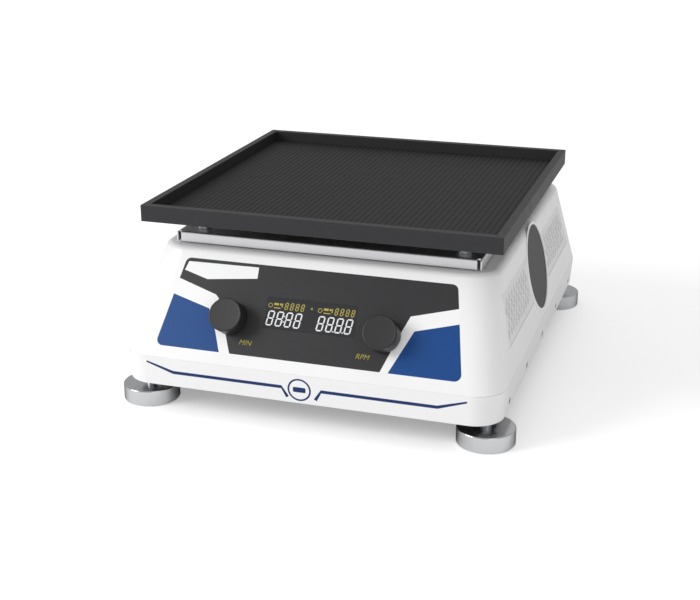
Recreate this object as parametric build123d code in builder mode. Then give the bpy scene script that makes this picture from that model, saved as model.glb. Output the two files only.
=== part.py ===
from build123d import *
from math import acos, cos, hypot, radians, sin, tan
import os

# Orbital shaker for a lab bench: a square tray driven round a small circle by a crank, over a white
# housing with a sloping control panel, on four levelling feet.
# Millimetres. X runs to the right, Y to the back and Z up. The origin is on the bench, under the middle
# of the body. At rest the crank points to the front, so the tray stands one orbit radius forward.

os.makedirs("parts", exist_ok=True)

# Tray and orbit
orbit_radius = 8.0
tray_width = 350.0
tray_top_z = 191.5
tray_height = 16.0
tray_wall = 7.5
tray_floor = 2.5
mat_base = 2.1
mat_rib_height = 0.4
mat_rib_width = 3.6
mat_rib_pitch = 5.8
mat_gap = 0.3

# Folded steel pan that carries the tray
pan_width = 302.0
pan_depth = 297.0
pan_top_z = 160.6
pan_flange = 10.0
pan_sheet = 1.5
pan_bend = 2.0
pan_corner_slit = 3.0
spacer_offset = 130.0
spacer_radius = 7.0
tray_screw_radius = 2.5
tray_screw_head = 5.0
tray_screw_sink = 1.8
tray_screw_end = 1.5
tray_nut_height = 4.0
tray_nut_flats = 8.0
screw_play = 0.1

# Housing and skirt
body_half_width = 186.5
body_half_depth = 225.5
corner_radius = 30.0
seam_z = 55.7
housing_top_z = 149.0
front_lean = radians(32.0)
back_lean = radians(18.0)
side_lean = radians(12.15)
wall = 3.0
cut_reach = 1.0
shoulder_radius = 8.0
seam_groove = 0.6
skirt_bottom_z = 27.0
skirt_draft = 2.0
skirt_wall = 3.0
skirt_lip_width = 9.0
skirt_lip_height = 2.0
plate_gap = 0.3
plate_sheet = 2.0
plate_flange = 12.0
plate_flange_inset = 35.5
skirt_screw_z = 35.0
skirt_screw_inset = 49.5
skirt_screw_count = 5
skirt_screw_radius = 2.0
skirt_screw_head = 3.5
skirt_screw_head_height = 1.6
skirt_screw_recess = 0.3
vent_slot_length = 46.0
vent_slot_width = 5.0
vent_slot_spacing = 11.0
vent_slot_count = 5
vent_slot_inset = 75.5

# Control panel, on the sloping front. Widths run along X and heights up the slope from panel_base_z
panel_base_z = 66.0
panel_height = 87.7
panel_side_inset = 37.3
panel_taper = 16.0
panel_corner = 6.0
film = 0.5
window_width = 89.0
window_height = 29.5
window_centre = (-0.5, 43.2)
window_gap = 0.15
display_gap = 0.3
display_border = 1.5
knob_centres = {"left": (-77.0, 33.3), "right": (72.5, 33.3)}
knob_radius = 16.1
knob_face = 18.6
knob_base = 1.6
knob_skin = 2.2
knob_edge = 1.0
knob_hub_radius = 5.5
knob_push = 0.5
shaft_radius = 3.0
shaft_tip = 15.0
shaft_end_gap = 0.2
running_gap = 0.05
bush_radius = 4.5
bush_gap = 0.3
encoder_size = 14.0
encoder_depth = 6.5
encoder_skin = 0.8
rotor_radius = 5.2
rotor_thickness = 2.4
board_depth = 13.5
board_thickness = 1.6
board_half_width = 102.0
board_low = 8.0
board_high = 70.0
board_post_radius = 4.0
board_post_inset = 6.0
board_screw_radius = 1.5
board_screw_head = 2.8
board_screw_head_height = 1.8
board_screw_grip = 6.0

# Round covers and vent grilles in the sides
cover_centre = (3.0, 52.1)
cover_radius = 42.8
cover_thickness = 2.2
cover_recess = 2.0
cover_gap = 0.4
cover_plug_radius = 35.5
cover_plug_wall = 2.0
cover_plug_depth = 5.0
cover_ring_width = 3.2
cover_ring_height = 0.8
cover_ring_edge = 0.5
cover_edge = 0.4
grille_low = 25.9
grille_high = 75.5
grille_front_inset = (60.5, 69.5)
grille_back_inset = (50.5, 69.5)
grille_hub_radius = 48.5
grille_gap = 0.3
grille_rim = 1.6
grille_thickness = 2.4
diamond_pitch = 12.0
diamond_row = 7.0
diamond_bar = 2.1
diamond_margin = 0.2
diamond_depth = 1.2

# Mains recess in the back
recess_half_width = 47.0
recess_low_z = 66.0
recess_high_z = 100.0
recess_setback = 20.5
socket_z = 83.0
inlet_x = -20.0
inlet_flange = (31.0, 24.0)
inlet_body = (26.8, 20.0)
inlet_cavity = (24.0, 16.0)
inlet_flange_thickness = 2.5
inlet_depth = 19.0
inlet_cavity_depth = 16.5
inlet_blade = (2.0, 4.0)
inlet_blade_length = 12.0
inlet_blade_places = [(0, 2.0), (-7.0, -2.0), (7.0, -2.0)]
inlet_key = 3.2
flange_corner = 2.0
switch_x = 24.0
switch_flange = (31.0, 24.0)
switch_body = (27.0, 21.0)
switch_cavity = (18.4, 18.6)
switch_flange_thickness = 2.2
switch_depth = 18.0
switch_cavity_depth = 15.0
rocker_width = 17.8
rocker_profile = [(-3, -5), (-1, -8), (6, -8), (4.2, 0), (6, 8), (-1, 8), (-3, 5)]
rocker_pivot_inset = 2.0
rocker_tilt = 8.0
rocker_pin_radius = 1.5
rocker_pin_reach = 2.0
socket_gap = 0.2

# Levelling feet
foot_side_inset = 18.7
foot_end_inset = 31.5
foot_radius = 27.4
foot_height = 15.6
foot_edge = 1.0
foot_stud_radius = 5.0
foot_socket_z = 6.0
foot_stud_top = 58.0
foot_stud_chamfer = 0.8
foot_hex_flats = 17.0
foot_hex_height = 6.5
foot_boss_radius = 10.0
foot_boss_height = 15.0

# Crank drive
spindle_radius = 8.5
spindle_bottom_z = 41.0
spindle_top_z = 124.0
spindle_end = 2.0
shaft_chamfer = 1.0
spindle_flange_radius = 45.0
spindle_flange_height = 8.0
spindle_barrel_radius = 26.0
spindle_barrel_top = 97.0
big_bearing_radius = 20.0
big_bearing_width = 12.0
big_bearing_cover = 1.0
pulley_low_z = 99.0
pulley_width = 16.0
drive_radius = 70.0
drive_rim = 8.0
drive_web = 5.0
drive_hub_radius = 17.0
drive_hub_top = 117.0
drive_hub_drop = 1.0
drive_window_radius = 15.0
drive_window_circle = 39.0
groove_pitch = 3.6
groove_depth = 2.0
groove_count = 3
crank_low_z = 118.0
crank_thickness = 10.0
crank_nose_radius = 19.0
crank_tail_y = 46.0
crank_tail_radius = 16.0
pin_top_z = 151.5
weight_inner = 27.0
weight_outer = 62.0
weight_thickness = 8.0
weight_front_y = 12.0

# Motor, on a folded bracket beside the spindle
motor_x = 105.0
motor_radius = 36.0
motor_bottom_z = 44.0
motor_top_z = 92.0
motor_cap_height = 6.0
motor_cap_radius = 31.0
motor_shaft_radius = 5.0
motor_shaft_depth = 34.0
motor_shaft_top = 117.0
motor_pulley_radius = 17.5
motor_pulley_flange = 2.2
motor_boss_radius = 15.0
bracket_half_length = 37.5
bracket_inner = 41.0
bracket_sheet = 4.0
bracket_foot = 17.0
bracket_screw_x = 29.0
motor_screw_circle = 25.0
motor_screw_grip = 8.0
belt_thickness = 2.0
belt_gap = 0.5
belt_side_gap = 1.0

# Four idler cranks that keep the tray square
idler_offset = 105.0
post_flange_radius = 24.0
post_flange_height = 6.0
post_radius = 15.0
post_top = 113.0
post_lower_seat = 79.0
post_bore_radius = 9.0
small_bearing_radius = 11.0
small_bearing_width = 7.0
idler_shaft_radius = 4.0
idler_shaft_bottom = 68.0
idler_arm_z = 115.0
idler_arm_thickness = 8.0
idler_arm_radius = 9.0
idler_pin_top = 151.0

# Bearing cups that hang under the pan
centre_cup_radius = 24.0
centre_cup_flange = 36.0
idler_cup_radius = 15.0
idler_cup_flange = 24.0
cup_flange_height = 4.0
cup_bottom_z = 137.0
centre_seat_top = 151.0
idler_seat_top = 147.0
cup_relief = 3.0
cup_play = 3.0

# Screws of the chassis
chassis_screw_radius = 2.4
chassis_screw_head = 4.2
chassis_screw_head_height = 3.0
spindle_screw_circle = 36.0
post_screw_circle = 19.6

# Power supply
supply_width = 40.0
supply_length = 124.0
supply_height = 34.0
supply_inset = 9.5
supply_slot_count = 7
supply_slot_size = (24.0, 3.0)
supply_slot_depth = 1.5
supply_edge = 1.5

# Values that follow from the sizes above
plate_z = skirt_bottom_z + skirt_lip_height
floor_z = plate_z + plate_sheet
pan_under_z = pan_top_z - pan_sheet
tray_bottom_z = tray_top_z - tray_height
mat_z = tray_bottom_z + tray_floor
platform_y = -orbit_radius
skirt_inner_half_width = body_half_width - skirt_draft - skirt_wall
skirt_inner_half_depth = body_half_depth - skirt_draft - skirt_wall
panel_bottom_half = body_half_width - panel_side_inset
panel_top_half = panel_bottom_half - panel_taper
plate_flange_half_length = body_half_depth - plate_flange_inset
skirt_screw_pitch = 2 * (body_half_depth - skirt_screw_inset) / (skirt_screw_count - 1)
vent_slot_y = body_half_depth - vent_slot_inset
grille_front = [inset - body_half_depth for inset in grille_front_inset]
grille_back = [body_half_depth - inset for inset in grille_back_inset]
recess_floor_y = body_half_depth - recess_setback
rocker_pivot_y = recess_floor_y - rocker_pivot_inset
foot_x = body_half_width - foot_side_inset
foot_y = body_half_depth - foot_end_inset
supply_x = supply_inset + supply_width / 2 - skirt_inner_half_width
panel_y = -body_half_depth + (panel_base_z - seam_z) * tan(front_lean)
front_plane = Plane((0, panel_y, panel_base_z), x_dir=(1, 0, 0), z_dir=(0, -cos(front_lean), sin(front_lean)))
side_plane = Plane((body_half_width, 0, seam_z), x_dir=(0, 1, 0), z_dir=(cos(side_lean), 0, sin(side_lean)))
recess_plane = Plane((0, recess_floor_y, socket_z), x_dir=(-1, 0, 0), z_dir=(0, 1, 0))
idler_places = [(x, y) for x in (-idler_offset, idler_offset) for y in (-idler_offset, idler_offset)]
corner_names = ["front_left", "back_left", "front_right", "back_right"]
foot_places = [(x, y) for x in (-foot_x, foot_x) for y in (-foot_y, foot_y)]
cup_places = [(x, y + platform_y) for x, y in idler_places]
spacer_places = [
    (x, y + platform_y) for x in (-spacer_offset, spacer_offset) for y in (-spacer_offset, spacer_offset)
]
bracket_top_z = motor_top_z + bracket_sheet
bracket_outer = bracket_inner + bracket_sheet
screw_angles = [radians(angle) for angle in (45, 135, 225, 315)]
spindle_screws = [
    (spindle_screw_circle * cos(angle), spindle_screw_circle * sin(angle)) for angle in screw_angles
]
motor_screws = [
    (motor_x + motor_screw_circle * cos(angle), motor_screw_circle * sin(angle)) for angle in screw_angles
]
post_screws = [(x + side * post_screw_circle, y) for x, y in idler_places for side in (-1, 1)]
bracket_screws = [
    (motor_x + x, y)
    for x in (-bracket_screw_x, bracket_screw_x)
    for y in (-bracket_outer - bracket_foot / 2, bracket_outer + bracket_foot / 2)
]


def turn(profile, x=0.0, y=0.0):
    """Adds a round solid about the upright axis through x, y, from (radius, height) points."""
    with BuildSketch(Plane((x, y, 0), x_dir=(1, 0, 0), z_dir=(0, -1, 0))) as half_section:
        with BuildLine():
            Polyline(*profile, close=True)
        make_face()
    revolve(half_section.sketch, axis=Axis((x, y, 0), (0, 0, 1)))


def ring_profile(inner, outer, low, high):
    """Half section of a plain ring."""
    return [(inner, low), (outer, low), (outer, high), (inner, high)]


def groove_points(radius, middle_z, shift=0.0):
    """Half section of the belt grooves about a middle height, from the lowest to the highest."""
    points = []
    for index in range(groove_count):
        height = middle_z + (index - (groove_count - 1) / 2) * groove_pitch
        points.append((radius + shift, height - groove_pitch / 2))
        points.append((radius + shift - groove_depth, height))
    points.append((radius + shift, middle_z + groove_count * groove_pitch / 2))
    return points


def housing_form(top_z, skin):
    """The housing as a solid block, with each side moved in by the skin's thickness."""
    with BuildPart() as form:
        for height in (seam_z, top_z):
            rise = height - seam_z
            half_width = body_half_width - rise * tan(side_lean) - skin / cos(side_lean)
            front_y = -body_half_depth + rise * tan(front_lean) + skin / cos(front_lean)
            back_y = body_half_depth - rise * tan(back_lean) - skin / cos(back_lean)
            with BuildSketch(Plane((0, (front_y + back_y) / 2, height))):
                RectangleRounded(2 * half_width, back_y - front_y, corner_radius - skin)
        loft(ruled=True)
    return form.part


def panel_outline(plane):
    """The control panel's outline, narrower at the top, with rounded corners."""
    with BuildSketch(plane) as outline:
        with BuildLine():
            Polyline(
                (-panel_bottom_half, 0),
                (panel_bottom_half, 0),
                (panel_top_half, panel_height),
                (-panel_top_half, panel_height),
                close=True,
            )
        make_face()
        fillet(outline.vertices(), panel_corner)
    return outline.sketch


def grille_outline(plane, shrink=0.0):
    """The two vent patches of one side, in front of the round cover and behind it."""
    with BuildSketch(plane) as outline:
        for near_low, near_high in (grille_front, grille_back):
            with BuildLine():
                Polyline(
                    (near_low, grille_low),
                    (near_high, grille_high),
                    (cover_centre[0], grille_high),
                    (cover_centre[0], grille_low),
                    close=True,
                )
            make_face()
        with Locations(cover_centre):
            Circle(grille_hub_radius, mode=Mode.SUBTRACT)
        if shrink:
            offset(amount=-shrink, kind=Kind.INTERSECTION)
    return outline.sketch


# The tray with its raised edge
with BuildPart() as tray:
    with BuildSketch(Plane((0, platform_y, tray_bottom_z))):
        Rectangle(tray_width, tray_width)
    extrude(amount=tray_height)
    with BuildSketch(Plane((0, platform_y, tray_top_z))):
        Rectangle(tray_width - 2 * tray_wall, tray_width - 2 * tray_wall)
    extrude(amount=-(tray_height - tray_floor), mode=Mode.SUBTRACT)
    with BuildSketch(Plane.XY.offset(mat_z)):
        with Locations(*spacer_places):
            Circle(tray_screw_radius + screw_play)
    extrude(amount=-tray_floor, mode=Mode.SUBTRACT)
    for place in spacer_places:
        with Locations(Plane((*place, mat_z - tray_screw_sink / 2))):
            Cone(
                tray_screw_radius + screw_play,
                tray_screw_head + screw_play,
                tray_screw_sink,
                mode=Mode.SUBTRACT,
            )
tray.part.label = "tray"
export_step(tray.part, "parts/tray.step")

# The ribbed rubber mat, its ribs running from front to back
mat_width = tray_width - 2 * tray_wall - 2 * mat_gap
rib_total = int(mat_width / mat_rib_pitch)
with BuildPart() as tray_mat:
    with BuildSketch(Plane((0, platform_y - mat_width / 2, mat_z), x_dir=(1, 0, 0), z_dir=(0, -1, 0))):
        with Locations((0, mat_base / 2)):
            Rectangle(mat_width, mat_base)
        with Locations((0, mat_base + mat_rib_height / 2)):
            with GridLocations(mat_rib_pitch, 0, rib_total, 1):
                Rectangle(mat_rib_width, mat_rib_height)
    extrude(amount=-mat_width)
tray_mat.part.label = "tray_mat"
export_step(tray_mat.part, "parts/tray_mat.step")

# Turned spacers between the pan and the tray
with BuildPart() as tray_spacers:
    with BuildSketch(Plane.XY.offset(pan_top_z)):
        with Locations(*spacer_places):
            Circle(spacer_radius)
            Circle(tray_screw_radius + screw_play, mode=Mode.SUBTRACT)
    extrude(amount=tray_bottom_z - pan_top_z)
tray_spacers.part.label = "tray_spacers"
export_step(tray_spacers.part, "parts/tray_spacers.step")

# Countersunk screws down through the tray, the spacers and the pan, each into a nut
nut_z = pan_under_z - tray_nut_height
with BuildPart() as tray_fasteners:
    for place in spacer_places:
        turn(
            [
                (0, nut_z - tray_screw_end),
                (tray_screw_radius, nut_z - tray_screw_end),
                (tray_screw_radius, mat_z - tray_screw_sink),
                (tray_screw_head, mat_z),
                (0, mat_z),
            ],
            *place,
        )
    with BuildSketch(Plane.XY.offset(nut_z)):
        with Locations(*spacer_places):
            RegularPolygon(tray_nut_flats / 2, 6, major_radius=False)
            Circle(tray_screw_radius + screw_play, mode=Mode.SUBTRACT)
    extrude(amount=tray_nut_height)
tray_fasteners.part.label = "tray_fasteners"
export_step(tray_fasteners.part, "parts/tray_fasteners.step")

# The folded pan: one sheet with four flanges down and open slits at its corners
with BuildPart() as platform_pan:
    with BuildSketch(Plane((0, platform_y, pan_top_z))):
        Rectangle(pan_width, pan_depth)
    extrude(amount=-pan_flange)
    bends = platform_pan.edges().group_by(Axis.Z)[-1]
    fillet(bends, pan_bend)
    with BuildSketch(Plane((0, platform_y, pan_under_z))):
        Rectangle(pan_width - 2 * pan_sheet, pan_depth - 2 * pan_sheet)
    extrude(amount=-pan_flange, mode=Mode.SUBTRACT)
    slit_x = pan_width / 2 - pan_sheet - pan_corner_slit / 2
    slit_y = pan_depth / 2 - pan_corner_slit / 2
    with BuildSketch(Plane((0, platform_y, pan_top_z))):
        with GridLocations(2 * slit_x, 2 * slit_y, 2, 2):
            Rectangle(pan_corner_slit, pan_corner_slit)
    extrude(amount=-pan_flange, mode=Mode.SUBTRACT)
    with BuildSketch(Plane.XY.offset(pan_top_z)):
        with Locations(*spacer_places):
            Circle(tray_screw_radius + screw_play)
    extrude(amount=-pan_sheet, mode=Mode.SUBTRACT)
platform_pan.part.label = "platform_pan"
export_step(platform_pan.part, "parts/platform_pan.step")

# Bearing cups under the pan, and the bearings pressed into them
cup_flange_z = pan_under_z - cup_flange_height


def cup_profile(radius, flange, bearing_radius, seat_top):
    """Half section of a cup that opens downwards round its bearing."""
    relief = bearing_radius - cup_relief
    return [
        (bearing_radius, cup_bottom_z),
        (radius, cup_bottom_z),
        (radius, cup_flange_z),
        (flange, cup_flange_z),
        (flange, pan_under_z),
        (relief, pan_under_z),
        (relief, seat_top),
        (bearing_radius, seat_top),
    ]


with BuildPart() as centre_bearing_cup:
    centre_section = cup_profile(centre_cup_radius, centre_cup_flange, big_bearing_radius, centre_seat_top)
    turn(centre_section, 0, platform_y)
centre_bearing_cup.part.label = "centre_bearing_cup"
export_step(centre_bearing_cup.part, "parts/centre_bearing_cup.step")

with BuildPart() as centre_bearing:
    low = centre_seat_top - big_bearing_width
    turn(ring_profile(spindle_radius + running_gap, big_bearing_radius, low, centre_seat_top), 0, platform_y)
centre_bearing.part.label = "centre_bearing"
export_step(centre_bearing.part, "parts/centre_bearing.step")

with BuildPart() as idler_bearing_cups:
    for place in cup_places:
        turn(cup_profile(idler_cup_radius, idler_cup_flange, small_bearing_radius, idler_seat_top), *place)
idler_bearing_cups.part.label = "idler_bearing_cups"
export_step(idler_bearing_cups.part, "parts/idler_bearing_cups.step")

with BuildPart() as cup_bearings:
    low = idler_seat_top - small_bearing_width
    small_section = ring_profile(idler_shaft_radius + running_gap, small_bearing_radius, low, idler_seat_top)
    for place in cup_places:
        turn(small_section, *place)
cup_bearings.part.label = "cup_bearings"
export_step(cup_bearings.part, "parts/cup_bearings.step")

# The spindle and its housing
barrel_seat_low = spindle_barrel_top - big_bearing_cover - big_bearing_width
lower_seat_low = spindle_bottom_z + spindle_end
with BuildPart() as spindle_housing:
    turn(
        [
            (big_bearing_radius, floor_z),
            (spindle_flange_radius, floor_z),
            (spindle_flange_radius, floor_z + spindle_flange_height),
            (spindle_barrel_radius, floor_z + spindle_flange_height),
            (spindle_barrel_radius, spindle_barrel_top),
            (big_bearing_radius, spindle_barrel_top),
            (big_bearing_radius, barrel_seat_low),
            (big_bearing_radius - cup_relief, barrel_seat_low),
            (big_bearing_radius - cup_relief, lower_seat_low + big_bearing_width),
            (big_bearing_radius, lower_seat_low + big_bearing_width),
        ]
    )
    with BuildSketch(Plane.XY.offset(floor_z + spindle_flange_height)):
        with Locations(*spindle_screws):
            Circle(chassis_screw_radius + screw_play)
    extrude(amount=-spindle_flange_height, mode=Mode.SUBTRACT)
spindle_housing.part.label = "spindle_housing"
export_step(spindle_housing.part, "parts/spindle_housing.step")

with BuildPart() as spindle_bearings:
    for low in (lower_seat_low, barrel_seat_low):
        turn(ring_profile(spindle_radius + running_gap, big_bearing_radius, low, low + big_bearing_width))
spindle_bearings.part.label = "spindle_bearings"
export_step(spindle_bearings.part, "parts/spindle_bearings.step")

with BuildPart() as spindle:
    turn(ring_profile(0, spindle_radius, spindle_bottom_z, spindle_top_z))
    chamfer(spindle.edges().filter_by(GeomType.CIRCLE).group_by(Axis.Z)[0], shaft_chamfer)
spindle.part.label = "spindle"
export_step(spindle.part, "parts/spindle.step")

# The driven pulley: hub, web with round windows, and a grooved rim
pulley_top_z = pulley_low_z + pulley_width
pulley_mid_z = pulley_low_z + pulley_width / 2
rim_inner = drive_radius - drive_rim
with BuildPart() as drive_pulley:
    turn(
        [
            (spindle_radius, pulley_low_z - drive_hub_drop),
            (drive_hub_radius, pulley_low_z - drive_hub_drop),
            (drive_hub_radius, pulley_mid_z - drive_web / 2),
            (rim_inner, pulley_mid_z - drive_web / 2),
            (rim_inner, pulley_low_z),
            (drive_radius, pulley_low_z),
            *groove_points(drive_radius, pulley_mid_z),
            (drive_radius, pulley_top_z),
            (rim_inner, pulley_top_z),
            (rim_inner, pulley_mid_z + drive_web / 2),
            (drive_hub_radius, pulley_mid_z + drive_web / 2),
            (drive_hub_radius, drive_hub_top),
            (spindle_radius, drive_hub_top),
        ]
    )
    with BuildSketch(Plane.XY.offset(pulley_mid_z + drive_web / 2)):
        with PolarLocations(drive_window_circle, 5):
            Circle(drive_window_radius)
    extrude(amount=-drive_web, mode=Mode.SUBTRACT)
drive_pulley.part.label = "drive_pulley"
export_step(drive_pulley.part, "parts/drive_pulley.step")

# The crank: a plate on the spindle's end, with the eccentric pin standing on its nose
crank_top_z = crank_low_z + crank_thickness
with BuildPart() as crank_plate:
    with BuildSketch(Plane.XY.offset(crank_low_z)):
        with Locations((0, -orbit_radius / 2)):
            Circle(crank_nose_radius)
        with Locations((0, crank_tail_y)):
            Circle(crank_tail_radius)
        make_hull()
    extrude(amount=crank_thickness)
    with BuildSketch(Plane.XY.offset(crank_low_z)):
        Circle(spindle_radius)
    extrude(amount=spindle_top_z - crank_low_z, mode=Mode.SUBTRACT)
    with BuildSketch(Plane((0, -orbit_radius, crank_top_z))):
        Circle(spindle_radius)
    extrude(amount=pin_top_z - crank_top_z)
    chamfer(crank_plate.edges().group_by(Axis.Z)[-1], shaft_chamfer)
crank_plate.part.label = "crank_plate"
export_step(crank_plate.part, "parts/crank_plate.step")

# The half-moon counterweight on the crank's tail, opposite the pin
with BuildPart() as counterweight:
    with BuildSketch(Plane.XY.offset(crank_top_z)):
        Circle(weight_outer)
        Circle(weight_inner, mode=Mode.SUBTRACT)
        with Locations((0, weight_front_y - weight_outer)):
            Rectangle(2 * weight_outer, 2 * weight_outer, mode=Mode.SUBTRACT)
    extrude(amount=weight_thickness)
counterweight.part.label = "counterweight"
export_step(counterweight.part, "parts/counterweight.step")

# Motor with its shaft and pulley
with BuildPart() as motor:
    shaft_seat_z = motor_top_z - motor_shaft_depth
    shaft_bore = motor_shaft_radius + running_gap
    turn(
        [
            (0, motor_bottom_z),
            (motor_cap_radius, motor_bottom_z),
            (motor_cap_radius, motor_bottom_z + motor_cap_height),
            (motor_radius, motor_bottom_z + motor_cap_height),
            (motor_radius, motor_top_z),
            (shaft_bore, motor_top_z),
            (shaft_bore, shaft_seat_z),
            (0, shaft_seat_z),
        ],
        motor_x,
    )
    with BuildSketch(Plane((motor_x, 0, motor_top_z))):
        Circle(motor_boss_radius)
        Circle(shaft_bore, mode=Mode.SUBTRACT)
    extrude(amount=bracket_sheet)
    with BuildSketch(Plane.XY.offset(motor_top_z)):
        with Locations(*motor_screws):
            Circle(chassis_screw_radius)
    extrude(amount=-motor_screw_grip, mode=Mode.SUBTRACT)
motor.part.label = "motor"
export_step(motor.part, "parts/motor.step")

with BuildPart() as motor_shaft:
    with BuildSketch(Plane((motor_x, 0, shaft_seat_z))):
        Circle(motor_shaft_radius)
    extrude(amount=motor_shaft_top - shaft_seat_z)
motor_shaft.part.label = "motor_shaft"
export_step(motor_shaft.part, "parts/motor_shaft.step")

flange_radius = motor_pulley_radius + motor_pulley_flange
flange_height = (pulley_width - groove_count * groove_pitch) / 2 - belt_side_gap
with BuildPart() as motor_pulley:
    turn(
        [
            (motor_shaft_radius, pulley_low_z),
            (flange_radius, pulley_low_z),
            (flange_radius, pulley_low_z + flange_height),
            (motor_pulley_radius, pulley_low_z + flange_height),
            *groove_points(motor_pulley_radius, pulley_mid_z),
            (motor_pulley_radius, pulley_top_z - flange_height),
            (flange_radius, pulley_top_z - flange_height),
            (flange_radius, pulley_top_z),
            (motor_shaft_radius, pulley_top_z),
        ],
        motor_x,
    )
motor_pulley.part.label = "motor_pulley"
export_step(motor_pulley.part, "parts/motor_pulley.step")

# The bracket is one strip, folded over the motor, with its feet on the base plate
with BuildPart() as motor_bracket:
    section_plane = Plane((motor_x - bracket_half_length, 0, 0), x_dir=(0, 1, 0), z_dir=(1, 0, 0))
    with BuildSketch(section_plane):
        with BuildLine():
            Polyline(
                (-bracket_outer - bracket_foot, floor_z),
                (-bracket_inner, floor_z),
                (-bracket_inner, motor_top_z),
                (bracket_inner, motor_top_z),
                (bracket_inner, floor_z),
                (bracket_outer + bracket_foot, floor_z),
                (bracket_outer + bracket_foot, floor_z + bracket_sheet),
                (bracket_outer, floor_z + bracket_sheet),
                (bracket_outer, bracket_top_z),
                (-bracket_outer, bracket_top_z),
                (-bracket_outer, floor_z + bracket_sheet),
                (-bracket_outer - bracket_foot, floor_z + bracket_sheet),
                close=True,
            )
        make_face()
    extrude(amount=2 * bracket_half_length)
    with BuildSketch(Plane((motor_x, 0, bracket_top_z))):
        Circle(motor_boss_radius + screw_play)
    extrude(amount=-bracket_sheet, mode=Mode.SUBTRACT)
    with BuildSketch(Plane.XY.offset(bracket_top_z)):
        with Locations(*motor_screws):
            Circle(chassis_screw_radius + screw_play)
    extrude(amount=-bracket_sheet, mode=Mode.SUBTRACT)
    with BuildSketch(Plane.XY.offset(floor_z)):
        with Locations(*bracket_screws):
            Circle(chassis_screw_radius + screw_play)
    extrude(amount=bracket_sheet, mode=Mode.SUBTRACT)
motor_bracket.part.label = "motor_bracket"
export_step(motor_bracket.part, "parts/motor_bracket.step")

# The ribbed belt: its inner face and ribs follow both pulleys at the same small gap
wrap = acos((drive_radius - motor_pulley_radius) / motor_x)
belt_large = drive_radius + belt_gap
belt_small = motor_pulley_radius + belt_gap
tangent_large = (belt_large * cos(wrap), belt_large * sin(wrap))
tangent_small = (motor_x + belt_small * cos(wrap), belt_small * sin(wrap))
with BuildPart() as drive_belt:
    with BuildLine(Plane.XY.offset(pulley_mid_z)) as belt_path:
        Line((tangent_large[0], -tangent_large[1]), (tangent_small[0], -tangent_small[1]))
        ThreePointArc((tangent_small[0], -tangent_small[1]), (motor_x + belt_small, 0), tangent_small)
        Line(tangent_small, tangent_large)
        ThreePointArc(tangent_large, (-belt_large, 0), (tangent_large[0], -tangent_large[1]))
    start = Vector(tangent_large[0], -tangent_large[1], pulley_mid_z)
    along = (Vector(tangent_small[0], -tangent_small[1], pulley_mid_z) - start).normalized()
    outward = Vector(cos(wrap), -sin(wrap), 0)
    with BuildSketch(Plane(start, x_dir=outward, z_dir=along)) as belt_section:
        rib_points = [(radius, -height) for radius, height in groove_points(0, 0)]
        half_belt = groove_count * groove_pitch / 2
        with BuildLine():
            Polyline(*rib_points, (belt_thickness, -half_belt), (belt_thickness, half_belt), close=True)
        make_face()
    sweep(sections=belt_section.sketch, path=belt_path.wire())
drive_belt.part.label = "drive_belt"
export_step(drive_belt.part, "parts/drive_belt.step")

# Idler posts with two bearings each, and the idler cranks that run in them
with BuildPart() as idler_posts:
    for place in idler_places:
        turn(
            [
                (small_bearing_radius, floor_z),
                (post_flange_radius, floor_z),
                (post_flange_radius, floor_z + post_flange_height),
                (post_radius, floor_z + post_flange_height),
                (post_radius, post_top),
                (small_bearing_radius, post_top),
                (small_bearing_radius, post_top - small_bearing_width),
                (post_bore_radius, post_top - small_bearing_width),
                (post_bore_radius, post_lower_seat),
                (small_bearing_radius, post_lower_seat),
            ],
            *place,
        )
    with BuildSketch(Plane.XY.offset(floor_z + post_flange_height)):
        with Locations(*post_screws):
            Circle(chassis_screw_radius + screw_play)
    extrude(amount=-post_flange_height, mode=Mode.SUBTRACT)
idler_posts.part.label = "idler_posts"
export_step(idler_posts.part, "parts/idler_posts.step")

with BuildPart() as idler_bearings:
    for place in idler_places:
        for low in (post_lower_seat - small_bearing_width, post_top - small_bearing_width):
            high = low + small_bearing_width
            turn(ring_profile(idler_shaft_radius + running_gap, small_bearing_radius, low, high), *place)
idler_bearings.part.label = "idler_bearings"
export_step(idler_bearings.part, "parts/idler_bearings.step")

for place, name in zip(idler_places, corner_names):
    with BuildPart() as idler_crank:
        with BuildSketch(Plane((*place, idler_shaft_bottom))):
            Circle(idler_shaft_radius)
        extrude(amount=idler_arm_z - idler_shaft_bottom)
        with BuildSketch(Plane((place[0], place[1] - orbit_radius / 2, idler_arm_z))):
            SlotCenterToCenter(orbit_radius, 2 * idler_arm_radius, rotation=90)
        extrude(amount=idler_arm_thickness)
        with BuildSketch(Plane((place[0], place[1] - orbit_radius, idler_arm_z + idler_arm_thickness))):
            Circle(idler_shaft_radius)
        extrude(amount=idler_pin_top - idler_arm_z - idler_arm_thickness)
    idler_crank.part.label = f"idler_crank_{name}"
    export_step(idler_crank.part, f"parts/idler_crank_{name}.step")

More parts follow.
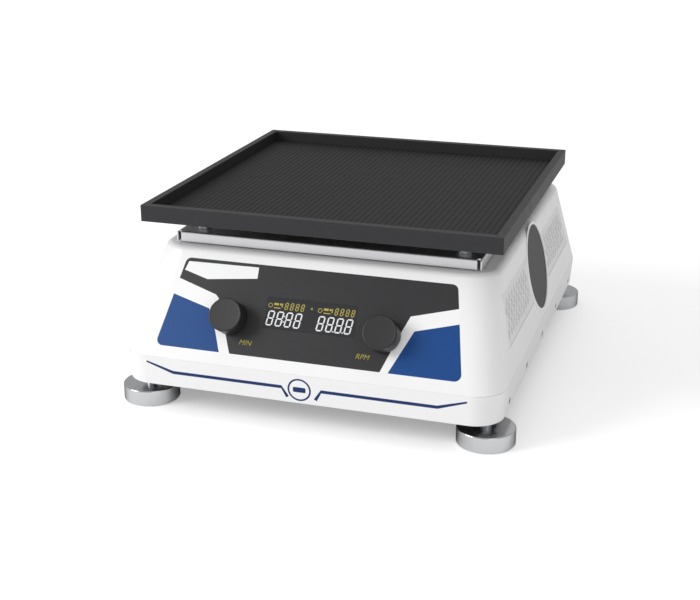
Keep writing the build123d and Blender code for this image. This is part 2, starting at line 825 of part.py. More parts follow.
# Base plate: a shallow folded tray with threaded bosses for the feet and slots for air
foot_boss_top = plate_z + foot_boss_height
flange_x = skirt_inner_half_width - plate_gap - plate_sheet / 2
skirt_screw_ys = [
    (index - (skirt_screw_count - 1) / 2) * skirt_screw_pitch for index in range(skirt_screw_count)
]
with BuildPart() as base_plate:
    with BuildSketch(Plane.XY.offset(plate_z)):
        RectangleRounded(
            2 * (skirt_inner_half_width - plate_gap),
            2 * (skirt_inner_half_depth - plate_gap),
            corner_radius - skirt_wall - plate_gap,
        )
    extrude(amount=plate_sheet)
    with BuildSketch(Plane.XY.offset(floor_z)):
        with Locations((-flange_x, 0), (flange_x, 0)):
            Rectangle(plate_sheet, 2 * plate_flange_half_length)
    extrude(amount=plate_flange)
    with BuildSketch(Plane.XY.offset(floor_z)):
        with Locations(*foot_places):
            Circle(foot_boss_radius)
    extrude(amount=foot_boss_top - floor_z)
    with BuildSketch(Plane.XY.offset(plate_z)):
        with Locations(*foot_places):
            Circle(foot_stud_radius + running_gap)
    extrude(amount=foot_boss_height, mode=Mode.SUBTRACT)
    with BuildSketch(Plane.XY.offset(plate_z)):
        with Locations(*spindle_screws, *post_screws, *bracket_screws):
            Circle(chassis_screw_radius + screw_play)
        with Locations((0, -vent_slot_y), (0, vent_slot_y)):
            with GridLocations(0, vent_slot_spacing, 1, vent_slot_count):
                SlotOverall(vent_slot_length, vent_slot_width)
    extrude(amount=plate_sheet, mode=Mode.SUBTRACT)
    for side in (-1, 1):
        drill_place = (side * (flange_x - plate_sheet), 0, skirt_screw_z)
        with BuildSketch(Plane(drill_place, x_dir=(0, 1, 0), z_dir=(side, 0, 0))):
            with Locations(*[(y, 0) for y in skirt_screw_ys]):
                Circle(skirt_screw_radius)
        extrude(amount=2 * plate_sheet, mode=Mode.SUBTRACT)
base_plate.part.label = "base_plate"
export_step(base_plate.part, "parts/base_plate.step")

# Screws that hold the spindle housing, the posts, the bracket and the motor
def hex_screw(place, seat_z, grip):
    """Adds a hexagon-head screw whose head sits at a height, with its shank reaching down."""
    with BuildSketch(Plane((*place, seat_z))) as head:
        RegularPolygon(chassis_screw_head, 6)
    extrude(head.sketch, amount=chassis_screw_head_height)
    with BuildSketch(Plane((*place, seat_z))) as shank:
        Circle(chassis_screw_radius)
    extrude(shank.sketch, amount=-grip)


with BuildPart() as chassis_screws:
    for place in spindle_screws:
        hex_screw(place, floor_z + spindle_flange_height, spindle_flange_height + plate_sheet)
    for place in post_screws:
        hex_screw(place, floor_z + post_flange_height, post_flange_height + plate_sheet)
    for place in bracket_screws:
        hex_screw(place, floor_z + bracket_sheet, bracket_sheet + plate_sheet)
    for place in motor_screws:
        hex_screw(place, bracket_top_z, bracket_sheet + motor_screw_grip)
chassis_screws.part.label = "chassis_screws"
export_step(chassis_screws.part, "parts/chassis_screws.step")

# The skirt: a ring with slightly drafted walls and a lip that carries the base plate
with BuildPart() as lower_shell:
    for height, draft in ((skirt_bottom_z, skirt_draft), (seam_z, 0)):
        with BuildSketch(Plane.XY.offset(height)):
            RectangleRounded(
                2 * (body_half_width - draft), 2 * (body_half_depth - draft), corner_radius - draft
            )
    loft(ruled=True)
    with BuildSketch(Plane.XY.offset(plate_z)):
        RectangleRounded(2 * skirt_inner_half_width, 2 * skirt_inner_half_depth, corner_radius - skirt_wall)
    extrude(amount=seam_z, mode=Mode.SUBTRACT)
    with BuildSketch(Plane.XY.offset(skirt_bottom_z)):
        RectangleRounded(
            2 * (skirt_inner_half_width - skirt_lip_width),
            2 * (skirt_inner_half_depth - skirt_lip_width),
            corner_radius,
        )
        with Locations(*foot_places):
            Circle(foot_boss_radius + plate_gap, mode=Mode.ADD)
    extrude(amount=skirt_lip_height, mode=Mode.SUBTRACT)
    skirt_slope = skirt_draft / (seam_z - skirt_bottom_z)
    screw_seat_x = body_half_width - skirt_draft + (skirt_screw_z - skirt_bottom_z) * skirt_slope
    for side in (-1, 1):
        screw_place = (side * (screw_seat_x + cut_reach), 0, skirt_screw_z)
        screw_plane = Plane(screw_place, x_dir=(0, 1, 0), z_dir=(side, 0, 0))
        with BuildSketch(screw_plane):
            with Locations(*[(y, 0) for y in skirt_screw_ys]):
                Circle(skirt_screw_radius + screw_play)
        extrude(amount=-3 * skirt_wall, mode=Mode.SUBTRACT)
        with BuildSketch(screw_plane):
            with Locations(*[(y, 0) for y in skirt_screw_ys]):
                Circle(skirt_screw_head + screw_play)
        extrude(amount=-(cut_reach + skirt_screw_head_height), mode=Mode.SUBTRACT)
lower_shell.part.label = "lower_shell"
export_step(lower_shell.part, "parts/lower_shell.step")

with BuildPart() as skirt_screws:
    for side in (-1, 1):
        seat_place = (side * (screw_seat_x - skirt_screw_head_height), 0, skirt_screw_z)
        seat_plane = Plane(seat_place, x_dir=(0, 1, 0), z_dir=(side, 0, 0))
        with BuildSketch(seat_plane):
            with Locations(*[(y, 0) for y in skirt_screw_ys]):
                Circle(skirt_screw_head)
        extrude(amount=skirt_screw_head_height - skirt_screw_recess)
        with BuildSketch(seat_plane):
            with Locations(*[(y, 0) for y in skirt_screw_ys]):
                Circle(skirt_screw_radius)
        extrude(amount=-(screw_seat_x - skirt_screw_head_height - flange_x + plate_sheet / 2))
skirt_screws.part.label = "skirt_screws"
export_step(skirt_screws.part, "parts/skirt_screws.step")

# Levelling feet: each a machined disc that turns on a threaded stud
for place, name in zip(foot_places, corner_names):
    with BuildPart() as foot_disc:
        with BuildSketch(Plane((*place, 0))):
            Circle(foot_radius)
        extrude(amount=foot_height)
        fillet(foot_disc.edges().filter_by(GeomType.CIRCLE), foot_edge)
        with BuildSketch(Plane((*place, foot_height))):
            Circle(foot_stud_radius + running_gap)
        extrude(amount=foot_socket_z - foot_height, mode=Mode.SUBTRACT)
    foot_disc.part.label = f"foot_disc_{name}"
    export_step(foot_disc.part, f"parts/foot_disc_{name}.step")
    with BuildPart() as foot_stud:
        with BuildSketch(Plane((*place, foot_socket_z))):
            Circle(foot_stud_radius)
        extrude(amount=foot_stud_top - foot_socket_z)
        chamfer(foot_stud.edges().group_by(Axis.Z)[-1], foot_stud_chamfer)
        with BuildSketch(Plane((*place, plate_z - foot_hex_height))):
            RegularPolygon(foot_hex_flats / 2, 6, major_radius=False)
        extrude(amount=foot_hex_height)
    foot_stud.part.label = f"foot_stud_{name}"
    export_step(foot_stud.part, f"parts/foot_stud_{name}.step")

# Cutters for one side of the housing: a seat for the round cover and windows for the grilles
with BuildPart() as side_windows:
    with BuildSketch(side_plane) as cover_seat:
        with Locations(cover_centre):
            Circle(cover_radius + cover_gap)
    extrude(amount=-cover_recess)
    extrude(cover_seat.sketch, amount=cover_ring_height)
    with BuildSketch(side_plane):
        with Locations(cover_centre):
            Circle(cover_plug_radius + cover_gap)
    extrude(amount=-2 * wall)
    grille_window = grille_outline(side_plane)
    extrude(grille_window, amount=-2 * wall)
    extrude(grille_window, amount=cut_reach)

with BuildPart() as cover_rim:
    with BuildSketch(side_plane):
        with Locations(cover_centre):
            Circle(cover_radius + cover_gap + cover_ring_width)
    extrude(amount=cover_ring_height)
    fillet(cover_rim.faces().sort_by(Axis.X)[-1].edges(), cover_ring_edge)

# The mains recess: a walled box through the back of the housing
outer_form = housing_form(housing_top_z, 0)
with BuildPart() as recess_walls:
    add(outer_form)
    with BuildSketch(Plane.XY.offset(recess_low_z - wall)):
        with Locations((0, (recess_floor_y - wall + body_half_depth) / 2)):
            Rectangle(2 * (recess_half_width + wall), body_half_depth - recess_floor_y + wall)
    extrude(amount=recess_high_z - recess_low_z + 2 * wall, mode=Mode.INTERSECT)

with BuildPart() as upper_housing:
    add(outer_form)
    fillet(upper_housing.edges().group_by(Axis.Z)[-1], shoulder_radius)
    with BuildSketch(Plane.XY.offset(seam_z)):
        Rectangle(3 * body_half_width, 3 * body_half_depth)
        RectangleRounded(
            2 * (body_half_width - seam_groove),
            2 * (body_half_depth - seam_groove),
            corner_radius,
            mode=Mode.SUBTRACT,
        )
    extrude(amount=seam_groove, mode=Mode.SUBTRACT)
    add(cover_rim.part)
    mirror(cover_rim.part, about=Plane.YZ)
    add(housing_form(housing_top_z - wall, wall), mode=Mode.SUBTRACT)
    add(recess_walls.part)
    with BuildSketch(Plane.XY.offset(recess_low_z)):
        with Locations((0, recess_floor_y + body_half_depth / 2)):
            Rectangle(2 * recess_half_width, body_half_depth)
    extrude(amount=recess_high_z - recess_low_z, mode=Mode.SUBTRACT)
    with BuildSketch(recess_plane):
        with Locations((-inlet_x, 0)):
            Rectangle(inlet_body[0] + 2 * socket_gap, inlet_body[1] + 2 * socket_gap)
        with Locations((-switch_x, 0)):
            Rectangle(switch_body[0] + 2 * socket_gap, switch_body[1] + 2 * socket_gap)
    extrude(amount=-2 * wall, mode=Mode.SUBTRACT)
    with BuildSketch(Plane.XY.offset(housing_top_z)):
        Circle(centre_cup_radius + orbit_radius + cup_play)
        with Locations(*idler_places):
            Circle(idler_cup_radius + orbit_radius + cup_play)
    extrude(amount=-2 * wall, mode=Mode.SUBTRACT)
    add(side_windows.part, mode=Mode.SUBTRACT)
    mirror(side_windows.part, about=Plane.YZ, mode=Mode.SUBTRACT)
    board_posts = [
        (x, v)
        for x in (board_post_inset - board_half_width, board_half_width - board_post_inset)
        for v in (board_low + board_post_inset, board_high - board_post_inset)
    ]
    with BuildSketch(front_plane.offset(-wall)):
        with Locations(*board_posts):
            Circle(board_post_radius)
            Circle(board_screw_radius, mode=Mode.SUBTRACT)
    extrude(amount=wall - board_depth)
    extrude(panel_outline(front_plane), amount=-film, mode=Mode.SUBTRACT)
    with BuildSketch(front_plane):
        with Locations(window_centre):
            Rectangle(window_width + 2 * window_gap, window_height + 2 * window_gap)
        with Locations(*knob_centres.values()):
            Circle(bush_radius + bush_gap)
    extrude(amount=-2 * wall, mode=Mode.SUBTRACT)
upper_housing.part.label = "upper_housing"
export_step(upper_housing.part, "parts/upper_housing.step")

# The printed film of the control panel, with holes for the knobs and the display
with BuildPart() as control_overlay:
    extrude(panel_outline(front_plane), amount=-film)
    with BuildSketch(front_plane):
        with Locations(window_centre):
            Rectangle(window_width + 2 * window_gap, window_height + 2 * window_gap)
        with Locations(*knob_centres.values()):
            Circle(bush_radius + bush_gap)
    extrude(amount=-film, mode=Mode.SUBTRACT)
control_overlay.part.label = "control_overlay"
export_step(control_overlay.part, "parts/control_overlay.step")

with BuildPart() as display_window:
    with BuildSketch(front_plane):
        with Locations(window_centre):
            Rectangle(window_width, window_height)
    extrude(amount=-wall)
display_window.part.label = "display_window"
export_step(display_window.part, "parts/display_window.step")

# Circuit board on four posts of the housing, carrying the display and the two encoders
with BuildPart() as display_module:
    with BuildSketch(front_plane.offset(-board_depth)):
        with Locations(window_centre):
            Rectangle(window_width + 2 * display_border, window_height + 2 * display_border)
    extrude(amount=board_depth - wall - display_gap)
display_module.part.label = "display_module"
export_step(display_module.part, "parts/display_module.step")

with BuildPart() as control_board:
    with BuildSketch(front_plane.offset(-board_depth)):
        with Locations((0, (board_low + board_high) / 2)):
            Rectangle(2 * board_half_width, board_high - board_low)
        with Locations(*board_posts):
            Circle(board_screw_radius + screw_play, mode=Mode.SUBTRACT)
    extrude(amount=-board_thickness)
control_board.part.label = "control_board"
export_step(control_board.part, "parts/control_board.step")

board_back = board_depth + board_thickness
with BuildPart() as board_screws:
    with BuildSketch(front_plane.offset(-board_back)):
        with Locations(*board_posts):
            Circle(board_screw_head)
    extrude(amount=-board_screw_head_height)
    with BuildSketch(front_plane.offset(-board_back)):
        with Locations(*board_posts):
            Circle(board_screw_radius)
    extrude(amount=board_thickness + board_screw_grip)
board_screws.part.label = "board_screws"
export_step(board_screws.part, "parts/board_screws.step")

# Each control is an encoder body with a bush, a rotor inside it, a shaft that turns the rotor and can
# be pushed through it, and a knob on the shaft
cavity_low = encoder_skin - board_depth
cavity_high = encoder_depth - encoder_skin - board_depth
shaft_end = cavity_low + knob_push + shaft_end_gap
rotor_low = (cavity_low + cavity_high - rotor_thickness) / 2
for name, centre in knob_centres.items():
    with BuildPart() as encoder:
        with BuildSketch(front_plane.offset(-board_depth)):
            with Locations(centre):
                Rectangle(encoder_size, encoder_size)
        extrude(amount=encoder_depth)
        with BuildSketch(front_plane.offset(encoder_depth - board_depth)):
            with Locations(centre):
                Circle(bush_radius)
        extrude(amount=board_depth - encoder_depth - film - bush_gap)
        with BuildSketch(front_plane.offset(cavity_low)):
            with Locations(centre):
                Circle(rotor_radius + bush_gap)
        extrude(amount=cavity_high - cavity_low, mode=Mode.SUBTRACT)
        with BuildSketch(front_plane.offset(cavity_high)):
            with Locations(centre):
                Circle(shaft_radius + running_gap)
        extrude(amount=board_depth, mode=Mode.SUBTRACT)
    encoder.part.label = f"encoder_{name}"
    export_step(encoder.part, f"parts/encoder_{name}.step")
    with BuildPart() as encoder_rotor:
        with BuildSketch(front_plane.offset(rotor_low)):
            with Locations(centre):
                Circle(rotor_radius)
                Circle(shaft_radius + running_gap, mode=Mode.SUBTRACT)
        extrude(amount=rotor_thickness)
    encoder_rotor.part.label = f"encoder_rotor_{name}"
    export_step(encoder_rotor.part, f"parts/encoder_rotor_{name}.step")
    with BuildPart() as knob_shaft:
        with BuildSketch(front_plane.offset(shaft_end)):
            with Locations(centre):
                Circle(shaft_radius)
        extrude(amount=shaft_tip - shaft_end)
    knob_shaft.part.label = f"knob_shaft_{name}"
    export_step(knob_shaft.part, f"parts/knob_shaft_{name}.step")
    with BuildPart() as knob:
        with BuildSketch(front_plane.offset(knob_base)):
            with Locations(centre):
                Circle(knob_radius)
        extrude(amount=knob_face - knob_base)
        fillet(knob.edges().filter_by(GeomType.CIRCLE).sort_by(Axis.Z)[-1], knob_edge)
        with BuildSketch(front_plane.offset(knob_base)):
            with Locations(centre):
                Circle(knob_radius - knob_skin)
                Circle(knob_hub_radius, mode=Mode.SUBTRACT)
        extrude(amount=knob_face - knob_base - knob_skin, mode=Mode.SUBTRACT)
        with BuildSketch(front_plane.offset(knob_base)):
            with Locations(centre):
                Circle(shaft_radius)
        extrude(amount=shaft_tip - knob_base, mode=Mode.SUBTRACT)
    knob.part.label = f"knob_{name}"
    export_step(knob.part, f"parts/knob_{name}.step")

# Round covers: a flat disc with a ring behind it that plugs into the housing
with BuildPart() as side_cover:
    with BuildSketch(side_plane.offset(-cover_recess)):
        with Locations(cover_centre):
            Circle(cover_radius)
    extrude(amount=cover_thickness)
    chamfer(side_cover.faces().sort_by(Axis.X)[-1].edges(), cover_edge)
    with BuildSketch(side_plane.offset(-cover_recess)):
        with Locations(cover_centre):
            Circle(cover_plug_radius)
            Circle(cover_plug_radius - cover_plug_wall, mode=Mode.SUBTRACT)
    extrude(amount=-cover_plug_depth)
side_cover.part.label = "side_cover_right"
export_step(side_cover.part, "parts/side_cover_right.step")
with BuildPart() as side_cover_left:
    mirror(side_cover.part, about=Plane.YZ)
side_cover_left.part.label = "side_cover_left"
export_step(side_cover_left.part, "parts/side_cover_left.step")

# Vent grilles: plates with rows of sunk upright diamonds, each row moved by half a pitch
diamond_wide = diamond_pitch / 2 - diamond_bar * hypot(diamond_pitch / 2, diamond_row) / (2 * diamond_row)
diamond_tall = diamond_row * diamond_wide / (diamond_pitch / 2)


def diamond_fits(along, up):
    """Whether a whole diamond at this place lies inside a patch, clear of its rim and of the round cover."""
    if not grille_low + grille_rim + diamond_tall <= up <= grille_high - grille_rim - diamond_tall:
        return False
    share = (up - grille_low) / (grille_high - grille_low)
    front_edge = grille_front[0] + share * (grille_front[1] - grille_front[0])
    back_edge = grille_back[0] + share * (grille_back[1] - grille_back[0])
    reach = grille_rim + diamond_wide + diamond_margin
    if not front_edge + reach <= along <= back_edge - reach:
        return False
    return hypot(along - cover_centre[0], up - cover_centre[1]) >= grille_hub_radius + reach


diamond_places = []
row_total = int((grille_high - grille_low) / diamond_row) + 1
column_total = int((grille_back[0] - grille_front[0]) / diamond_pitch) + 2
grille_middle = (grille_low + grille_high) / 2
for row in range(-row_total, row_total + 1):
    for column in range(-column_total, column_total + 1):
        along = (column + 0.5 * (row % 2)) * diamond_pitch
        up = grille_middle + row * diamond_row
        if diamond_fits(along, up):
            diamond_places.append((along, up))

with BuildPart() as vent_grilles:
    grille_plane = side_plane.offset(-grille_gap)
    extrude(grille_outline(grille_plane, grille_gap), amount=-grille_thickness)
    with BuildSketch(grille_plane):
        with Locations(*diamond_places):
            Polygon((diamond_wide, 0), (0, diamond_tall), (-diamond_wide, 0), (0, -diamond_tall))
    extrude(amount=-diamond_depth, mode=Mode.SUBTRACT)
vent_grilles.part.label = "vent_grilles_right"
export_step(vent_grilles.part, "parts/vent_grilles_right.step")
with BuildPart() as vent_grilles_left:
    mirror(vent_grilles.part, about=Plane.YZ)
vent_grilles_left.part.label = "vent_grilles_left"
export_step(vent_grilles_left.part, "parts/vent_grilles_left.step")

# Mains inlet with its three blades, in the recess at the back
with BuildPart() as power_inlet:
    with BuildSketch(recess_plane):
        with Locations((-inlet_x, 0)):
            RectangleRounded(*inlet_flange, flange_corner)
    extrude(amount=inlet_flange_thickness)
    with BuildSketch(recess_plane):
        with Locations((-inlet_x, 0)):
            Rectangle(*inlet_body)
    extrude(amount=-inlet_depth)
    with BuildSketch(recess_plane.offset(inlet_flange_thickness)) as socket:
        with Locations((-inlet_x, 0)):
            Rectangle(*inlet_cavity)
        chamfer(socket.vertices().group_by(Axis.Z)[-1], inlet_key)
    extrude(amount=-inlet_cavity_depth, mode=Mode.SUBTRACT)
    with BuildSketch(recess_plane.offset(inlet_flange_thickness - inlet_cavity_depth)):
        with Locations(*[(x - inlet_x, z) for x, z in inlet_blade_places]):
            Rectangle(*inlet_blade)
    extrude(amount=inlet_blade_length)
power_inlet.part.label = "power_inlet"
export_step(power_inlet.part, "parts/power_inlet.step")

# Rocker switch: a frame with a cavity, and the rocker on two short pins
with BuildPart() as switch_frame:
    with BuildSketch(recess_plane):
        with Locations((-switch_x, 0)):
            RectangleRounded(*switch_flange, flange_corner)
    extrude(amount=switch_flange_thickness)
    with BuildSketch(recess_plane):
        with Locations((-switch_x, 0)):
            Rectangle(*switch_body)
    extrude(amount=-switch_depth)
    with BuildSketch(recess_plane.offset(switch_flange_thickness)):
        with Locations((-switch_x, 0)):
            Rectangle(*switch_cavity)
    extrude(amount=-switch_cavity_depth, mode=Mode.SUBTRACT)
    with BuildSketch(Plane((switch_x, rocker_pivot_y, socket_z), x_dir=(0, 1, 0), z_dir=(1, 0, 0))):
        Circle(rocker_pin_radius + running_gap)
    extrude(amount=rocker_width / 2 + rocker_pin_reach + socket_gap, both=True, mode=Mode.SUBTRACT)
switch_frame.part.label = "switch_frame"
export_step(switch_frame.part, "parts/switch_frame.step")

tilt = radians(-rocker_tilt)
with BuildPart() as power_rocker:
    pivot_place = (switch_x, rocker_pivot_y, socket_z)
    rocker_plane = Plane(pivot_place, x_dir=(0, cos(tilt), sin(tilt)), z_dir=(1, 0, 0))
    with BuildSketch(rocker_plane):
        with BuildLine():
            Polyline(*rocker_profile, close=True)
        make_face()
    extrude(amount=rocker_width / 2, both=True)
    with BuildSketch(rocker_plane):
        Circle(rocker_pin_radius)
    extrude(amount=rocker_width / 2 + rocker_pin_reach, both=True)
power_rocker.part.label = "power_rocker"
export_step(power_rocker.part, "parts/power_rocker.step")

# Power supply in a slotted metal case, on the base plate
with BuildPart() as power_supply:
    with BuildSketch(Plane((supply_x, 0, floor_z))):
        Rectangle(supply_width, supply_length)
    extrude(amount=supply_height)
    fillet(power_supply.edges().group_by(Axis.Z)[-1], supply_edge)
    with BuildSketch(Plane((supply_x, 0, floor_z + supply_height))):
        with GridLocations(0, supply_length / (supply_slot_count + 1), 1, supply_slot_count):
            Rectangle(*supply_slot_size)
    extrude(amount=-supply_slot_depth, mode=Mode.SUBTRACT)
power_supply.part.label = "power_supply"
export_step(power_supply.part, "parts/power_supply.step")
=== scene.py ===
from math import atan2, cos, pi, radians, sin, tan

import bpy
from mathutils import Matrix, Vector


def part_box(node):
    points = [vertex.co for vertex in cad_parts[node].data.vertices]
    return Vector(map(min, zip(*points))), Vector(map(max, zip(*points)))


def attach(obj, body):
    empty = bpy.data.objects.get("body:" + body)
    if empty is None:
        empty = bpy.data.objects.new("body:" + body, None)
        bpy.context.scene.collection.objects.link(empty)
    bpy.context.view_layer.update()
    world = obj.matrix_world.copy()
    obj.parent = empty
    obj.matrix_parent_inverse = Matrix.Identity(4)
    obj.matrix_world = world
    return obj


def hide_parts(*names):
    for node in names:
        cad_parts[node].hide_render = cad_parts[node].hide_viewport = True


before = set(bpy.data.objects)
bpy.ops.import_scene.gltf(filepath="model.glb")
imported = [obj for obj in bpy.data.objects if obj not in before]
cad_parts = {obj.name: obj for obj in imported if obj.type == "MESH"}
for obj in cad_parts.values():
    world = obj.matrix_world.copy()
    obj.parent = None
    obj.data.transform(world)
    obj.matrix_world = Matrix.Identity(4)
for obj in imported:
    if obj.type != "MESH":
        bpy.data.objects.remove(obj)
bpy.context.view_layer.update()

bl_info = {
    "name": "Orbital Shaker Finish",
    "version": (1, 0, 0),
    "blender": (4, 5, 0),
    "location": "View3D > Sidebar > Shaker",
    "description": "Finishes, printed film, display and studio for a bench shaker",
    "category": "Object",
}

MM = 0.001
CORNERS = ("front_left", "back_left", "front_right", "back_right")
SIDES = {"left": -1, "right": 1}

# The skirt widens up to the seam by its draft, and above the seam the housing's sides lean in.
SKIRT_LOW, SKIRT_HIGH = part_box("lower_shell")
HALF_WIDTH = SKIRT_HIGH.x
HALF_DEPTH = SKIRT_HIGH.y
SEAM_Z = SKIRT_HIGH.z
SKIRT_DRAFT = 2.0 * MM
SIDE_LEAN = radians(12.15)
# The middle of a side cover, along the side and up it from the seam
COVER_PLACE = (3.0 * MM, 52.1 * MM)
# The sunk floors of the grilles' diamonds lie between these depths under the side's face, and take a painted
# shade.
GRILLE_SHADED_FLOOR_DEPTHS = (0.7 * MM, 1.5 * MM)
SCREWS_A_SIDE = 5
SCREW_SPACING = 88.0 * MM

# The sloping panel: where its lower edge stands, how far it leans back and which way it faces
PANEL_LEAN = radians(32)
PANEL_Z = 66.0 * MM
PANEL_Y = (PANEL_Z - SEAM_Z) * tan(PANEL_LEAN) - HALF_DEPTH
PANEL_TURN = (pi / 2 - PANEL_LEAN, 0, 0)
PANEL_OUT = Vector((0, -cos(PANEL_LEAN), sin(PANEL_LEAN)))
# What stands on the panel has its place across it and up its slope
KNOB_PLACES = {"left": (-77.0 * MM, 33.3 * MM), "right": (72.5 * MM, 33.3 * MM)}
LABELS = {"left": ("MIN", -59.4 * MM), "right": ("RPM", 55.0 * MM)}
LABEL_RISE = 11.8 * MM
LABEL_HEIGHT = 4.8 * MM
LABEL_SLANT = 0.25
CAPITAL_SHARE = 0.7

# The printed areas of the film, in millimetres across and up the slope, and bounds that lie outside it
PAST_SIDE = 160
PAST_TOP = 100
PAST_LOW = -5
DARK_AREA = [
    (-PAST_SIDE, PAST_TOP), (-PAST_SIDE, 73.8), (-96.8, 54.4), (-93.6, 51.3), (-71, PAST_LOW),
    (71.6, PAST_LOW), (88.3, 39.8), (94.2, 54.0), (PAST_SIDE, 71.8), (PAST_SIDE, PAST_TOP),
]
LABEL_AREA = [(-130.5, 84.1), (-133.2, 75.3), (-108.5, 68.4), (-58.4, 73.8), (-58.7, 84.7)]
BLUE_LEFT_AREA = [
    (-PAST_SIDE, 56.6), (-101.2, 40.5), (-90.7, 19.1), (-81.5, PAST_LOW), (-PAST_SIDE, PAST_LOW),
]
BLUE_RIGHT_AREA = [(PAST_SIDE, 57.2), (99.7, 40.8), (78.8, PAST_LOW), (PAST_SIDE, PAST_LOW)]

# A digit of height 1 has seven bars between these ends. Each stops short by a gap and is pointed over a tip,
# both as shares of its stroke.
DIGIT_WIDTH = 0.40
DIGIT_BARS = [
    ((0, 0), (DIGIT_WIDTH, 0)), ((0, 0.5), (DIGIT_WIDTH, 0.5)), ((0, 1), (DIGIT_WIDTH, 1)),
    ((0, 0), (0, 0.5)), ((0, 0.5), (0, 1)),
    ((DIGIT_WIDTH, 0), (DIGIT_WIDTH, 0.5)), ((DIGIT_WIDTH, 0.5), (DIGIT_WIDTH, 1)),
]
DIGIT_GAP = 0.15
DIGIT_TIP = 0.5
DIGIT_SLANT = tan(radians(7))
DIGITS_IN_GROUP = 4
LARGE_STARTS = (-42.2 * MM, 7.3 * MM)
LARGE_LOW = 31.4 * MM
LARGE_PITCH = 9.0 * MM
LARGE_STROKE = 1.25 * MM
SMALL_STARTS = (-26.4 * MM, 22.6 * MM)
SMALL_LOW = 47.5 * MM
SMALL_PITCH = 5.3 * MM
SMALL_STROKE = 0.85 * MM
# A square dot: the group of large digits it belongs to, how many pitches along, and how far up
DOTS = ((0, 1.85, 4.2 * MM), (0, 1.9, 9.6 * MM), (1, 1.82, 0.3 * MM), (1, 2.82, 0.3 * MM))
DOT_HALF = 0.6 * MM
# Before each group of small digits stands a pictogram: a dial, and bars by left, low, width and height
PICTOGRAM_LEAD = 16.5 * MM
DIAL_RADIUS = 2.2 * MM
DIAL_LINE = 0.6 * MM
DIAL_RISE = 2.7 * MM
PICTOGRAM_BARS = [
    [value * MM for value in bar]
    for bar in ((5.6, 3.1, 4.6, 2.2), (5.6, 0.2, 6.8, 0.9), (11.2, 3.3, 1.9, 1.9), (13.4, 1.5, 1.0, 3.8))
]
POINTER = [(-1.0 * MM, 50.0 * MM), (1.0 * MM, 50.0 * MM), (0, 52.6 * MM)]
MARK_ROUNDING = 0.2 * MM
DISPLAY_GAP = 0.02 * MM

# Half of the skirt's stripe: each point's way out from the middle and up from the skirt's lower edge, and the
# share of the width there
STRIPE_PATH = [
    (13.6 * MM, 5.2 * MM, 1), (19.4 * MM, 14.8 * MM, 1),
    (129.0 * MM, 14.8 * MM, 1), (156.0 * MM, 23.4 * MM, 0.55),
]
STRIPE_THICKNESS = 0.05 * MM
STRIPE_GAP = 0.01 * MM
BADGE_PLACE = (-1.8 * MM, 13.8 * MM, 0)
BADGE_LINE = 1.7 * MM
BADGE_BAR_HALVES = (6.2 * MM, 2.6 * MM)
BADGE_BAR_ROUNDING = 1.2 * MM

# How bright steel stays where it is seen at a slant. Along a polished round's two sides it is held dark as a
# painted dark reflection; on a faced top it stays nearly bright.
DARK_SLANT_TINT = 0.3
FACED_TINT = 0.95
# The thread of a foot's stud, in millimetres, with its narrow crests between two shares of the pitch
THREAD_RADII = (4.2, 5.0)
THREAD_LOW = 15.2
THREAD_PITCH = 1.5
THREAD_TURNS = 4
THREAD_CREST = (0.45, 0.55)

# The mains inlet's three blades, by their middle across and up, and the depths between which they show
BLADES = ((-20.0 * MM, 85.0 * MM), (-27.0 * MM, 81.0 * MM), (-13.0 * MM, 81.0 * MM))
BLADE_HALVES = (1.2 * MM, 2.2 * MM)
BLADE_DEPTHS = (191.2 * MM, 204.0 * MM)
# The switch's rocker: its pivot, its tilt, and the middle and lean of each half of its hollow face
ROCKER_PIVOT = Vector((24.0, 203.0, 83.0)) * MM
ROCKER_TILT = radians(8)
ROCKER_FACE_OUT = 5.1 * MM
ROCKER_HALF = 4.0 * MM
ROCKER_FACE_LEAN = atan2(1.8, 8.0)
ROCKER_MARK_HALVES = (0.4 * MM, 1.9 * MM)
ROCKER_RING_LINE = 0.6 * MM

# The photograph's camera: its lens on a sensor 36 mm wide, its shift, its place, and its turn in degrees
CAMERA_LENS = 65.14
CAMERA_SHIFT = (0.0033, -0.0061)
CAMERA_PLACE = (0.36943, -1.22728, 0.51682)
CAMERA_TURN = (70.236, 0.083, 17.882)
# Each lamp's place, what it points at, its width in metres and its power in watts
LAMPS = {
    "key_light": ((-3.0, -2.2, 2.0), (0, -0.1, 0.1), 2.2, 90),
    "fill_light": ((2.0, -2.6, 1.5), (0, 0, 0.1), 2.0, 11),
    "top_light": ((0.2, 0.6, 3.0), (0, 0, 0.1), 2.4, 6),
}
# The world's strength as light on the object, as a white background, and as what bright metal mirrors
WORLD_LIGHT = 0.6
WORLD_SEEN = 1.0
WORLD_MIRRORED = 0.42
FLOOR_SIZE = 24
FLOOR_GAP = 0.2 * MM
# The lamps don't reach the far floor, so it glows more to the eye from 1 to 4 metres out.
FLOOR_GLOW = {"From Min": 1.0, "From Max": 4.0, "To Min": 0.3, "To Max": 0.55}


def linear(code):
    """A colour written as sRGB hex, turned to the linear values that Blender keeps."""
    values = [int(code[place:place + 2], 16) / 255 for place in (1, 3, 5)]
    return [value / 12.92 if value <= 0.04045 else ((value + 0.055) / 1.055) ** 2.4 for value in values]


def colour_property(name, description, code):
    """A colour that a user can change, with its default written as sRGB hex."""
    return bpy.props.FloatVectorProperty(
        name=name, description=description, subtype="COLOR", size=3, min=0, max=1, default=linear(code)
    )


def length_property(name, description, millimetres):
    """A length that a user can change, with its default in millimetres."""
    return bpy.props.FloatProperty(
        name=name, description=description, default=millimetres * MM, min=0, unit="LENGTH", precision=5
    )


